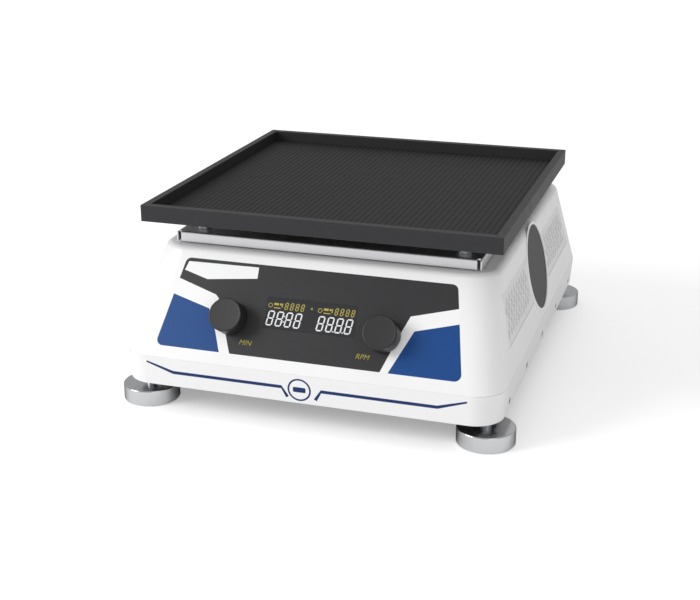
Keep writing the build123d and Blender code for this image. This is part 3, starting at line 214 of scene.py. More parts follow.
class ShakerColours(bpy.types.PropertyGroup):
    """Colours of the shaker's finishes"""

    housing: colour_property("Housing", "Satin white of the housing and the skirt", "#F1F1F2")
    tray: colour_property("Tray", "Dark grey of the tray", "#38383A")
    mat: colour_property("Mat", "Black of the ribbed rubber mat", "#1E1E1F")
    film_dark: colour_property("Film dark", "Dark grey print of the panel film", "#323234")
    film_blue: colour_property("Film blue", "Blue print of the panel film", "#0D4586")
    film_white: colour_property("Film white", "White print of the panel film", "#F4F4F5")
    stripe: colour_property("Stripe", "Blue of the stripe along the skirt", "#0F2E66")
    knob: colour_property("Knob", "Dark grey of the knobs", "#222224")
    cover: colour_property("Side cover", "Grey of the round covers in the sides", "#2E2E30")
    digits: colour_property("Digits", "White of the large digits", "#D8DADB")
    marks: colour_property("Marks", "Yellow of the small digits and labels", "#A3973C")


class ShakerSizes(bpy.types.PropertyGroup):
    """Sizes of the details that the finish adds"""

    housing_edge: length_property("Housing edge", "Rounding of the housing's edges", 0.4)
    sheet_edge: length_property("Sheet edge", "Rounding of sheet metal edges", 0.25)
    tray_edge: length_property("Tray edge", "Rounding of the tray's edges", 0.45)
    print_lift: length_property("Print lift", "Height of printed marks over their face", 0.04)
    digit_height: length_property("Digit height", "Height of the large digits", 13.2)
    small_digit_height: length_property("Small digit height", "Height of the small digits", 6.2)
    stripe_width: length_property("Stripe width", "Width of the stripe along the skirt", 3.2)
    badge_radius: length_property("Badge radius", "Radius of the ring in the middle of the stripe", 11.4)


def colours():
    return bpy.context.scene.shaker_colours


def sizes():
    return bpy.context.scene.shaker_sizes


# Materials. A pattern's scale is 1 over the size of its grain in millimetres.

NOISE = "ShaderNodeTexNoise"


def add_node(tree, kind, inputs=None, **settings):
    """Adds a node with its settings, and its inputs as values or as what other nodes give."""
    node = tree.nodes.new(kind)
    for name, value in settings.items():
        setattr(node, name, value)
    for socket, value in (inputs or {}).items():
        if isinstance(value, bpy.types.Node):
            value = value.outputs[0]
        if isinstance(value, bpy.types.NodeSocket):
            tree.links.new(value, node.inputs[socket])
        else:
            node.inputs[socket].default_value = value
    return node


def start_material(name, colour, metallic, roughness, **sockets):
    """A material with one shader. Gives the material, its node tree and the shader."""
    material = bpy.data.materials.new(name)
    material.use_nodes = True
    tree = material.node_tree
    shader = tree.nodes["Principled BSDF"]
    shader.inputs["Base Color"].default_value = (*colour, 1)
    shader.inputs["Metallic"].default_value = metallic
    shader.inputs["Roughness"].default_value = roughness
    for socket, value in sockets.items():
        shader.inputs[socket.replace("_", " ")].default_value = value
    return material, tree, shader


def millimetre_space(tree, stretch=(1, 1, 1), centre=(0, 0, 0)):
    """Object coordinates in millimetres, moved and stretched for a pattern."""
    place = add_node(tree, "ShaderNodeTexCoord").outputs["Object"]
    scale = [value / MM for value in stretch]
    shift = [-middle * size for middle, size in zip(centre, scale)]
    return add_node(tree, "ShaderNodeMapping", {"Vector": place, "Location": shift, "Scale": scale})


def shift_colour(tree, shader, colour, pattern, share):
    """Lets a pattern darken and lighten the colour by a share."""
    dark = [value * (1 - share) for value in colour]
    light = [min(1, value * (1 + share)) for value in colour]
    # Inputs 6 and 7 are the two colours, and output 2 is their mix.
    mixed = {"Factor": pattern, 6: (*dark, 1), 7: (*light, 1)}
    mix = add_node(tree, "ShaderNodeMix", mixed, data_type="RGBA")
    tree.links.new(mix.outputs[2], shader.inputs["Base Color"])


def shift_roughness(tree, shader, pattern, low, high):
    """Lets a pattern move the roughness between two values."""
    spread = add_node(tree, "ShaderNodeMapRange", {"Value": pattern, "To Min": low, "To Max": high})
    tree.links.new(spread.outputs[0], shader.inputs["Roughness"])


def raise_relief(tree, shader, pattern, depth, strength):
    """Turns a pattern into relief of a depth in millimetres."""
    bump = add_node(tree, "ShaderNodeBump", {"Height": pattern, "Distance": depth * MM, "Strength": strength})
    tree.links.new(bump.outputs[0], shader.inputs["Normal"])


def coated_housing():
    """Moulded housing with a satin coat: near white, with a faint peel and a slightly uneven sheen."""
    colour = colours().housing
    material, tree, shader = start_material("satin_coated_moulding", colour, 0, 0.36, IOR=1.48)
    space = millimetre_space(tree)
    shade = add_node(tree, NOISE, {"Vector": space, "Scale": 1 / 90, "Detail": 3})
    sheen = add_node(tree, NOISE, {"Vector": space, "Scale": 1 / 24, "Detail": 4})
    peel = add_node(tree, NOISE, {"Vector": space, "Scale": 1 / 1.3})
    shift_colour(tree, shader, colour, shade, 0.012)
    shift_roughness(tree, shader, sheen, 0.32, 0.42)
    raise_relief(tree, shader, peel, 0.02, 0.35)
    return material


def moulded_white_grille(name, brightness):
    """Grille moulded in the same white, a little duller than the coated side, its colour scaled down by a
    brightness share; the darker copy on the sunk floors is painted shade.
    """
    colour = [value * brightness for value in colours().housing]
    material, tree, shader = start_material(name, colour, 0, 0.45, IOR=1.48)
    space = millimetre_space(tree)
    shade = add_node(tree, NOISE, {"Vector": space, "Scale": 1 / 40, "Detail": 3})
    skin = add_node(tree, NOISE, {"Vector": space, "Scale": 1 / 0.9})
    shift_colour(tree, shader, colour, shade, 0.015)
    raise_relief(tree, shader, skin, 0.02, 0.3)
    return material


def anodised_tray(name, colour):
    """Aluminium, bead blasted and anodised dark: a dense grey with a fine even sparkle."""
    material, tree, shader = start_material(name, colour, 0.55, 0.5)
    space = millimetre_space(tree)
    # Blasting leaves grit of 0.1 mm, drawn coarser so that it shows.
    grit = add_node(tree, NOISE, {"Vector": space, "Scale": 1 / 0.45, "Detail": 3, "Roughness": 0.6})
    sheen = add_node(tree, NOISE, {"Vector": space, "Scale": 1 / 14, "Detail": 3})
    shift_colour(tree, shader, colour, grit, 0.10)
    shift_roughness(tree, shader, sheen, 0.46, 0.56)
    raise_relief(tree, shader, grit, 0.02, 0.35)
    return material


def rubber_mat():
    """Extruded rubber: almost black, dull, with a dry bloom in large soft patches."""
    colour = colours().mat
    material, tree, shader = start_material("extruded_rubber", colour, 0, 0.62, IOR=1.5)
    space = millimetre_space(tree)
    bloom = add_node(tree, NOISE, {"Vector": space, "Scale": 1 / 55, "Detail": 4, "Roughness": 0.6})
    sheen = add_node(tree, NOISE, {"Vector": space, "Scale": 1 / 9, "Detail": 3})
    skin = add_node(tree, NOISE, {"Vector": space, "Scale": 1 / 0.35})
    shift_colour(tree, shader, colour, bloom, 0.14)
    shift_roughness(tree, shader, sheen, 0.55, 0.7)
    raise_relief(tree, shader, skin, 0.03, 0.4)
    return material


def brushed_sheet(name, colour, along, roughness=(0.24, 0.36)):
    """Stainless sheet or turned stock with fine parallel brushing along one axis."""
    material, tree, shader = start_material(name, colour, 1, 0.3)
    # The lines are 0.25 mm apart and 60 mm long, a little coarser than real ones so that they show.
    stretch = [1 / 60 if axis == along else 1 / 0.25 for axis in range(3)]
    space = millimetre_space(tree, stretch)
    lines = add_node(tree, NOISE, {"Vector": space, "Scale": 1, "Detail": 3, "Roughness": 0.65})
    shift_colour(tree, shader, colour, lines, 0.07)
    shift_roughness(tree, shader, lines, *roughness)
    raise_relief(tree, shader, lines, 0.006, 0.5)
    return material


def spangled_zinc():
    """Galvanised sheet: dull silver grey with the crystal pattern of hot-dip zinc."""
    colour = linear("#A9ACAF")
    material, tree, shader = start_material("galvanised_sheet", colour, 1, 0.45)
    space = millimetre_space(tree)
    crystals = add_node(tree, "ShaderNodeTexVoronoi", {"Vector": space, "Scale": 1 / 7}).outputs["Color"]
    sheen = add_node(tree, NOISE, {"Vector": space, "Scale": 1 / 5, "Detail": 3})
    shift_colour(tree, shader, colour, crystals, 0.12)
    shift_roughness(tree, shader, sheen, 0.36, 0.55)
    return material


def turned_steel(name, colour, centre=(0, 0, 0), roughness=(0.10, 0.2), tint=DARK_SLANT_TINT):
    """Steel turned on a lathe and polished: bright, with faint rings about its own axis."""
    # A tint under 1 darkens the steel where it is seen at a slant, a painted dark reflection.
    material, tree, shader = start_material(name, colour, 1, 0.15, Specular_Tint=(tint, tint, tint, 1))
    space = millimetre_space(tree, centre=centre)
    level = add_node(tree, "ShaderNodeVectorMath", {0: space, 1: (1, 1, 0)}, operation="MULTIPLY")
    reach = add_node(tree, "ShaderNodeVectorMath", {0: level}, operation="LENGTH").outputs["Value"]
    height = add_node(tree, "ShaderNodeSeparateXYZ", {0: space}).outputs[2]
    both = add_node(tree, "ShaderNodeMath", {0: reach, 1: height}, operation="ADD")
    # The rings are 0.4 mm apart, coarser than a real finishing cut so that they show.
    rings = add_node(tree, NOISE, {"W": both, "Scale": 1 / 0.4, "Detail": 3}, noise_dimensions="1D")
    shift_colour(tree, shader, colour, rings, 0.05)
    shift_roughness(tree, shader, rings, *roughness)
    raise_relief(tree, shader, rings, 0.004, 0.5)
    return material


def printed_film(name, colour):
    """Polyester film printed from behind: flat even colour under a fine velvet surface."""
    material, tree, shader = start_material(name, colour, 0, 0.38, IOR=1.38)
    space = millimetre_space(tree)
    shade = add_node(tree, NOISE, {"Vector": space, "Scale": 1 / 30})
    sheen = add_node(tree, NOISE, {"Vector": space, "Scale": 1 / 8, "Detail": 3})
    # A velvet film's grain is under 0.1 mm, drawn coarser so that it shows.
    velvet = add_node(tree, NOISE, {"Vector": space, "Scale": 1 / 0.3})
    shift_colour(tree, shader, colour, shade, 0.015)
    shift_roughness(tree, shader, sheen, 0.34, 0.44)
    raise_relief(tree, shader, velvet, 0.008, 0.25)
    return material


def smoked_cover():
    """Smoked acrylic over the display: nearly black and glossy."""
    colour = linear("#303033")
    material, tree, shader = start_material("smoked_acrylic", colour, 0, 0.16, IOR=1.49)
    space = millimetre_space(tree)
    sheen = add_node(tree, NOISE, {"Vector": space, "Scale": 1 / 12, "Detail": 3})
    shade = add_node(tree, NOISE, {"Vector": space, "Scale": 1 / 25})
    shift_roughness(tree, shader, sheen, 0.12, 0.22)
    shift_colour(tree, shader, colour, shade, 0.03)
    return material


def lit_ink(name, colour, strength):
    """A lit mark of the display: plain colour that glows a little."""
    material, tree, shader = start_material(name, colour, 0, 0.4)
    shader.inputs["Emission Color"].default_value = (*colour, 1)
    shader.inputs["Emission Strength"].default_value = strength
    shade = add_node(tree, NOISE, {"Vector": millimetre_space(tree), "Scale": 1 / 3})
    shift_colour(tree, shader, colour, shade, 0.03)
    return material


def moulded_plastic(name, colour, roughness, grain=0.5, depth=0.012):
    """Moulded plastic with the fine grain of a spark-eroded tool, drawn a little coarse so that it shows."""
    material, tree, shader = start_material(name, colour, 0, roughness, IOR=1.52)
    space = millimetre_space(tree)
    spark = add_node(tree, NOISE, {"Vector": space, "Scale": 1 / grain, "Detail": 3, "Roughness": 0.6})
    shade = add_node(tree, NOISE, {"Vector": space, "Scale": 1 / 18, "Detail": 3})
    shift_colour(tree, shader, colour, shade, 0.04)
    shift_roughness(tree, shader, spark, roughness - 0.05, roughness + 0.06)
    raise_relief(tree, shader, spark, depth, 0.4)
    return material


def cast_metal(name, colour, roughness):
    """Cast metal under paint or oil: dark, with a rolling sand-cast skin."""
    material, tree, shader = start_material(name, colour, 0.7, roughness)
    space = millimetre_space(tree)
    shade = add_node(tree, NOISE, {"Vector": space, "Scale": 1 / 6, "Detail": 4})
    sheen = add_node(tree, NOISE, {"Vector": space, "Scale": 1 / 3, "Detail": 3})
    skin = add_node(tree, NOISE, {"Vector": space, "Scale": 1 / 1.2, "Detail": 4, "Roughness": 0.6})
    shift_colour(tree, shader, colour, shade, 0.14)
    shift_roughness(tree, shader, sheen, roughness - 0.06, roughness + 0.1)
    raise_relief(tree, shader, skin, 0.06, 0.5)
    return material


# Pieces. A node's mesh is loose triangles, so its copy is merged over a wider gap than a new piece.

COPY_GAP = 0.002 * MM
NEW_GAP = 0.0001 * MM
SHARP_ANGLE = radians(38)


def activate(piece):
    """Makes one object the only selected and active one."""
    bpy.ops.object.select_all(action="DESELECT")
    piece.select_set(True)
    bpy.context.view_layer.objects.active = piece


def open_edit():
    """Enters edit mode with all of the active piece selected."""
    bpy.ops.object.mode_set(mode="EDIT")
    bpy.ops.mesh.select_all(action="SELECT")


def close_edit(piece):
    """Merges doubles, turns the faces outwards and leaves edit mode."""
    bpy.ops.mesh.select_all(action="SELECT")
    bpy.ops.mesh.remove_doubles(threshold=NEW_GAP)
    bpy.ops.mesh.normals_make_consistent(inside=False)
    bpy.ops.object.mode_set(mode="OBJECT")
    return piece


def settle(piece, place, turn=(0, 0, 0)):
    """Puts a piece at its place and turn, and writes both into its mesh."""
    activate(piece)
    piece.location = place
    piece.rotation_euler = turn
    bpy.ops.object.transform_apply(location=True, rotation=True, scale=True)
    return piece


def dress(piece, body, slot, *materials, smooth=35):
    """Gives a finished piece its materials, its shading and its body. The slot is not used."""
    activate(piece)
    piece.data.materials.clear()
    for material in materials:
        piece.data.materials.append(material)
    bpy.ops.object.shade_smooth_by_angle(angle=radians(smooth))
    # Wide faces keep their own direction, so a narrow rounding doesn't bend their reflections.
    weighted = piece.modifiers.new("wide_faces", "WEIGHTED_NORMAL")
    weighted.keep_sharp = True
    bpy.ops.object.modifier_apply(modifier="wide_faces")
    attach(piece, body)
    return piece


def finish_node(name, material):
    """Gives a node that keeps its own mesh its material."""
    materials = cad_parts[name].data.materials
    materials.clear()
    materials.append(material)


def merged_copy(node, name, edge=0.0, flat=0.4, segments=2):
    """A merged copy that stands for a node, its faces joined if they bend under `flat` degrees."""
    piece = bpy.data.objects.new(name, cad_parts[node].data.copy())
    bpy.context.scene.collection.objects.link(piece)
    activate(piece)
    bpy.ops.mesh.customdata_custom_splitnormals_clear()
    open_edit()
    bpy.ops.mesh.remove_doubles(threshold=COPY_GAP)
    if flat:
        bpy.ops.mesh.dissolve_limited(angle_limit=radians(flat))
    bpy.ops.object.mode_set(mode="OBJECT")
    if edge:
        bevel = piece.modifiers.new("rounding", "BEVEL")
        bevel.width = edge
        bevel.segments = segments
        bevel.limit_method = "ANGLE"
        bevel.angle_limit = SHARP_ANGLE
        bpy.ops.object.modifier_apply(modifier="rounding")
    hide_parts(node)
    return piece


def copy_of(piece, name, shift=(0, 0, 0)):
    """A copy of a piece with its own mesh, moved within it."""
    twin = bpy.data.objects.new(name, piece.data.copy())
    bpy.context.scene.collection.objects.link(twin)
    twin.data.transform(Matrix.Translation(shift))
    return twin


def join_pieces(name, pieces):
    """Joins several pieces into one."""
    activate(pieces[0])
    for piece in pieces[1:]:
        piece.select_set(True)
    bpy.ops.object.join()
    pieces[0].name = name
    return pieces[0]


def start_disc(name, vertices, radius, height=0.0):
    """A filled disc on its own, from which a flat or round piece is shaped."""
    bpy.ops.object.select_all(action="DESELECT")
    bpy.ops.mesh.primitive_circle_add(
        vertices=vertices, radius=radius, fill_type="NGON", location=(0, 0, height)
    )
    piece = bpy.context.object
    piece.name = name
    return piece


def turned_piece(name, profile, segments=96):
    """A piece made as on a lathe: a disc drawn up along steps of radius and height in millimetres."""
    steps = [(radius * MM, height * MM) for radius, height in profile]
    radius, height = steps[0]
    piece = start_disc(name, segments, radius, height)
    bpy.ops.object.transform_apply(location=True, rotation=False, scale=False)
    open_edit()
    for next_radius, next_height in steps[1:]:
        bpy.ops.mesh.extrude_region_move(TRANSFORM_OT_translate={"value": (0, 0, next_height - height)})
        share = next_radius / radius
        bpy.ops.transform.resize(value=(share, share, 1), center_override=(0, 0, next_height))
        radius = next_radius
        height = next_height
    return close_edit(piece)


def flat_piece(name, outline, thickness, rounding=0.0):
    """A thin piece cut to an outline of points, with rounded corners, lying on the ground."""
    piece = start_disc(name, len(outline), 1)
    for vertex, (x, y) in zip(piece.data.vertices, outline):
        vertex.co = (x, y, 0)
    open_edit()
    if rounding:
        bpy.ops.mesh.bevel(offset=rounding, segments=5, affect="VERTICES", clamp_overlap=True)
        bpy.ops.mesh.select_all(action="SELECT")
    bpy.ops.mesh.extrude_region_move(TRANSFORM_OT_translate={"value": (0, 0, thickness)})
    return close_edit(piece)


def ring_piece(name, radius, width, thickness, segments=40):
    """A thin flat ring, lying on the ground."""
    piece = start_disc(name, segments, radius)
    open_edit()
    bpy.ops.mesh.inset(thickness=width, use_boundary=True)
    bpy.ops.mesh.delete(type="FACE")
    bpy.ops.mesh.select_all(action="SELECT")
    bpy.ops.mesh.extrude_region_move(TRANSFORM_OT_translate={"value": (0, 0, thickness)})
    return close_edit(piece)


def box_outline(left, low, right, high):
    """The four corners of an upright bar."""
    return [(left, low), (right, low), (right, high), (left, high)]


def lettering(name, words, height, thickness, slant):
    """Plain raised lettering, lying on the ground about its own middle."""
    bpy.ops.object.select_all(action="DESELECT")
    bpy.ops.object.text_add(location=(0, 0, 0))
    text = bpy.context.object
    text.data.body = words
    text.data.size = height / CAPITAL_SHARE
    text.data.extrude = thickness / 2
    text.data.shear = slant
    text.data.align_x = "CENTER"
    text.data.align_y = "CENTER"
    bpy.ops.object.convert(target="MESH")
    piece = bpy.context.object
    piece.name = name
    return piece


def panel_place(across, up, out=0.0):
    """A point on the sloping panel, from metres across, up the slope and out from it."""
    return Vector((
        across,
        PANEL_Y + up * sin(PANEL_LEAN) - out * cos(PANEL_LEAN),
        PANEL_Z + up * cos(PANEL_LEAN) + out * sin(PANEL_LEAN),
    ))


def side_place(side, along, up):
    """A point on the leaning side of the housing, from metres along it and up it from the seam."""
    return Vector((side * (HALF_WIDTH - up * sin(SIDE_LEAN)), along, SEAM_Z + up * cos(SIDE_LEAN)))


def side_depth(side, point):
    """How far a point lies under the face of a side."""
    reach = side * point.x * cos(SIDE_LEAN) + (point.z - SEAM_Z) * sin(SIDE_LEAN)
    return HALF_WIDTH * cos(SIDE_LEAN) - reach


class SHAKER_OT_housing(bpy.types.Operator):
    """Rounds and coats the housing, the skirt and the vent grilles"""

    bl_idname = "shaker.housing"
    bl_label = "Housing"

    def execute(self, context):
        coat = coated_housing()
        for node in ("upper_housing", "lower_shell"):
            shell = merged_copy(node, f"{node}_coated", edge=sizes().housing_edge)
            dress(shell, "root", "housing_white", coat, smooth=40)
        # The grille's faces are scaled to 0.9 of the housing's white, and its sunk floors to 0.82 as painted
        # shade.
        face_white = moulded_white_grille("moulded_grille_face", 0.9)
        floor_painted_shade = moulded_white_grille("grille_floor_painted_shade", 0.82)
        shallow, deep = GRILLE_SHADED_FLOOR_DEPTHS
        for name, side in SIDES.items():
            vent = merged_copy(f"vent_grilles_{name}", f"vent_grilles_{name}_moulded", edge=0.3 * MM)
            dress(vent, "root", "housing_white", face_white, floor_painted_shade)
            # Faces sunk to the floor depths take the painted shade.
            for face in vent.data.polygons:
                if shallow < side_depth(side, face.center) < deep:
                    face.material_index = 1
        return {"FINISHED"}


def holds(area, across, up):
    """Whether a closed outline holds a point."""
    inside = False
    for (x0, y0), (x1, y1) in zip(area, area[1:] + area[:1]):
        if (y0 > up) != (y1 > up) and across < x0 + (up - y0) * (x1 - x0) / (y1 - y0):
            inside = not inside
    return inside


class SHAKER_OT_film(bpy.types.Operator):
    """Cuts the panel's film along its printed areas and colours them"""

    bl_idname = "shaker.film"
    bl_label = "Panel film"

    def execute(self, context):
        film = merged_copy("control_overlay", "panel_film", flat=0)
        bpy.ops.object.mode_set(mode="EDIT")
        for area in (DARK_AREA, LABEL_AREA, BLUE_LEFT_AREA, BLUE_RIGHT_AREA):
            for start, end in zip(area, area[1:] + area[:1]):
                # A border that runs outside the film cuts nothing.
                if min(abs(start[0]), abs(end[0])) >= PAST_SIDE or max(start[1], end[1]) <= PAST_LOW:
                    continue
                first = panel_place(start[0] * MM, start[1] * MM)
                along = panel_place(end[0] * MM, end[1] * MM) - first
                bpy.ops.mesh.select_all(action="SELECT")
                bpy.ops.mesh.bisect(plane_co=first, plane_no=along.cross(PANEL_OUT).normalized())
        bpy.ops.object.mode_set(mode="OBJECT")
        ink = colours()
        white = printed_film("film_print_white", ink.film_white)
        dark = printed_film("film_print_dark", ink.film_dark)
        blue = printed_film("film_print_blue", ink.film_blue)
        dress(film, "root", "panel_film", white, dark, blue)
        for face in film.data.polygons:
            rise = (face.center.z - PANEL_Z) * cos(PANEL_LEAN) + (face.center.y - PANEL_Y) * sin(PANEL_LEAN)
            spot = (face.center.x / MM, rise / MM)
            if holds(BLUE_LEFT_AREA, *spot) or holds(BLUE_RIGHT_AREA, *spot):
                face.material_index = 2
            elif holds(DARK_AREA, *spot) and not holds(LABEL_AREA, *spot):
                face.material_index = 1
        return {"FINISHED"}


def digit(name, height, thickness, stroke):
    """One seven-bar digit with every bar lit, lying on the ground from its lower left corner."""
    bars = []
    for index, (start, end) in enumerate(DIGIT_BARS):
        start = Vector(start) * height
        end = Vector(end) * height
        along = (end - start).normalized()
        gap = along * stroke * DIGIT_GAP
        tip = along * stroke * DIGIT_TIP
        half = Vector((-along.y, along.x)) * stroke / 2
        corners = [
            start + gap, start + gap + tip + half, end - gap - tip + half,
            end - gap, end - gap - tip - half, start + gap + tip - half,
        ]
        outline = [(corner.x + DIGIT_SLANT * corner.y, corner.y) for corner in corners]
        bars.append(flat_piece(f"{name}_bar_{index}", outline, thickness))
    return join_pieces(name, bars)


def digit_group(one, name, start, low, pitch):
    """Copies of one digit in a row, from the left side of the first."""
    return [copy_of(one, f"{name}_{i}", (start + i * pitch, low, 0)) for i in range(DIGITS_IN_GROUP)]


class SHAKER_OT_display(bpy.types.Operator):
    """Makes the smoked cover, its lit digits and pictograms, and the small labels"""

    bl_idname = "shaker.display"
    bl_label = "Display"

    def execute(self, context):
        size = sizes()
        lift = size.print_lift
        cover = merged_copy("display_window", "display_cover", edge=0.15 * MM)
        dress(cover, "root", "display_black", smoked_cover())

        large = digit("large_digit", size.digit_height, lift, LARGE_STROKE)
        bright = []
        for group, start in enumerate(LARGE_STARTS):
            bright += digit_group(large, f"large_digit_{group}", start, LARGE_LOW, LARGE_PITCH)
        for index, (group, pitches, rise) in enumerate(DOTS):
            x = LARGE_STARTS[group] + pitches * LARGE_PITCH
            y = LARGE_LOW + rise
            outline = box_outline(x - DOT_HALF, y - DOT_HALF, x + DOT_HALF, y + DOT_HALF)
            bright.append(flat_piece(f"dot_{index}", outline, lift, MARK_ROUNDING))
        bpy.data.objects.remove(large)
        digits = settle(join_pieces("display_digits", bright), panel_place(0, 0, DISPLAY_GAP), PANEL_TURN)
        dress(digits, "root", "display_black", lit_ink("lit_white", colours().digits, 0.22))

        small = digit("small_digit", size.small_digit_height, lift, SMALL_STROKE)
        lit = []
        for group, start in enumerate(SMALL_STARTS):
            lit += digit_group(small, f"small_digit_{group}", start, SMALL_LOW, SMALL_PITCH)
            left = start - PICTOGRAM_LEAD
            dial = ring_piece(f"pictogram_dial_{group}", DIAL_RADIUS, DIAL_LINE, lift)
            lit.append(settle(dial, (left + DIAL_RADIUS, SMALL_LOW + DIAL_RISE, 0)))
            for bar, (x, y, wide, high) in enumerate(PICTOGRAM_BARS):
                outline = box_outline(left + x, SMALL_LOW + y, left + x + wide, SMALL_LOW + y + high)
                lit.append(flat_piece(f"pictogram_bar_{group}_{bar}", outline, lift, MARK_ROUNDING))
        lit.append(flat_piece("pictogram_pointer", POINTER, lift))
        bpy.data.objects.remove(small)
        marks = settle(join_pieces("display_marks", lit), panel_place(0, 0, DISPLAY_GAP), PANEL_TURN)
        dress(marks, "root", "display_black", lit_ink("lit_yellow", colours().marks, 0.2))

        yellow = printed_film("film_print_yellow", colours().marks)
        for side, (words, across) in LABELS.items():
            label = lettering(f"panel_label_{side}", words, LABEL_HEIGHT, lift, LABEL_SLANT)
            settle(label, panel_place(across, LABEL_RISE, lift / 2), PANEL_TURN)
            dress(label, "root", "panel_film", yellow)
        return {"FINISHED"}


class SHAKER_OT_knobs(bpy.types.Operator):
    """Turns the two knobs with their dished faces"""

    bl_idname = "shaker.knobs"
    bl_label = "Knobs"

    def execute(self, context):
        # Radius and distance from the panel, from the lower rim up to the dished face
        profile = [
            (13.9, 1.7), (15.6, 1.6), (16.1, 2.2), (16.1, 17.3), (15.95, 17.95), (15.5, 18.4),
            (14.9, 18.58), (14.5, 18.5), (14.1, 18.38), (0.4, 18.34),
        ]
        plastic = moulded_plastic("moulded_knob", colours().knob, 0.42, 0.4)
        for side, place in KNOB_PLACES.items():
            knob = turned_piece(f"knob_{side}_turned", profile)
            settle(knob, panel_place(*place), PANEL_TURN)
            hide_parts(f"knob_{side}")
            dress(knob, f"knob_{side}", "knob_dark", plastic)
        return {"FINISHED"}


class SHAKER_OT_side_covers(bpy.types.Operator):
    """Turns the round grey covers of the sides"""

    bl_idname = "shaker.side_covers"
    bl_label = "Side covers"

    def execute(self, context):
        # Radius and distance from the side's face, with a shallow step inside the rim
        profile = [
            (35.4, -2.0), (42.8, -2.0), (42.8, -0.2), (42.6, 0.05), (42.2, 0.2), (40.6, 0.2),
            (40.2, 0.05), (39.8, 0.0), (0.5, 0.0),
        ]
        plastic = moulded_plastic("grained_cover", colours().cover, 0.5, 0.8, 0.03)
        for name, side in SIDES.items():
            cover = turned_piece(f"side_cover_{name}_moulded", profile, 128)
            settle(cover, side_place(side, *COVER_PLACE), (0, side * (pi / 2 - SIDE_LEAN), 0))
            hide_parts(f"side_cover_{name}")
            dress(cover, "root", "cover_grey", plastic)
        return {"FINISHED"}


class SHAKER_OT_stripe(bpy.types.Operator):
    """Lays the blue stripe and its plain round badge on the front of the skirt"""

    bl_idname = "shaker.stripe"
    bl_label = "Skirt stripe"

    def execute(self, context):
        size = sizes()
        pieces = []
        last = len(STRIPE_PATH) - 1
        for name, side in SIDES.items():
            above = []
            below = []
            for index, (x, y, share) in enumerate(STRIPE_PATH):
                before = Vector(STRIPE_PATH[max(0, index - 1)][:2])
                after = Vector(STRIPE_PATH[min(last, index + 1)][:2])
                half = (after - before).normalized() * size.stripe_width / 2 * share
                above.append((side * (x - half.y), y + half.x))
                below.append((side * (x + half.y), y - half.x))
            outline = above + below[::-1]
            if side > 0:
                outline.reverse()
            pieces.append(flat_piece(f"stripe_{name}", outline, STRIPE_THICKNESS))
        ring = ring_piece("stripe_ring", size.badge_radius, BADGE_LINE, STRIPE_THICKNESS, 72)
        pieces.append(settle(ring, BADGE_PLACE))
        wide, high = BADGE_BAR_HALVES
        bar_outline = box_outline(-wide, -high, wide, high)
        bar = flat_piece("stripe_bar", bar_outline, STRIPE_THICKNESS, BADGE_BAR_ROUNDING)
        pieces.append(settle(bar, BADGE_PLACE))
        # The stripe leans with the skirt, and lies a hair in front of it.
        start = (0, -HALF_DEPTH + SKIRT_DRAFT - STRIPE_GAP, SKIRT_LOW.z)
        lean = atan2(SKIRT_DRAFT, SEAM_Z - SKIRT_LOW.z)
        stripe = settle(join_pieces("skirt_stripe", pieces), start, (pi / 2 + lean, 0, 0))
        dress(stripe, "root", "panel_film", printed_film("stripe_print", colours().stripe))
        return {"FINISHED"}


class SHAKER_OT_tray(bpy.types.Operator):
    """Rounds and finishes the tray, its mat, the pan and the spacers"""

    bl_idname = "shaker.tray"
    bl_label = "Tray"

    def execute(self, context):
        size = sizes()
        tray = merged_copy("tray", "tray_anodised", edge=size.tray_edge)
        # The rim is painted a good deal brighter than the walls, a painted highlight along the tray's top
        # edge.
        highlight_colour = [value * 1.7 for value in colours().tray]
        walls = anodised_tray("blasted_anodised_aluminium", colours().tray)
        rim = anodised_tray("anodised_rim_painted_highlight", highlight_colour)
        dress(tray, "platform", "tray_dark", walls, rim)
        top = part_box("tray")[1].z
        # The top faces and their rounding take the painted highlight.
        for face in tray.data.polygons:
            if face.center.z > top - size.tray_edge:
                face.material_index = 1
        mat = merged_copy("tray_mat", "tray_mat_ribbed", edge=0.25 * MM)
        dress(mat, "platform", "mat_rubber", rubber_mat())
        pan = merged_copy("platform_pan", "platform_pan_brushed", edge=size.sheet_edge)
        steel = brushed_sheet("brushed_stainless_sheet", linear("#E4E4E6"), 0, (0.34, 0.46))
        dress(pan, "platform", "pan_steel", steel)
        spacers = merged_copy("tray_spacers", "tray_spacers_turned", edge=size.sheet_edge)
        aluminium = brushed_sheet("turned_aluminium", linear("#D2D4D6"), 2)
        dress(spacers, "platform", "spacer_aluminium", aluminium)
        return {"FINISHED"}


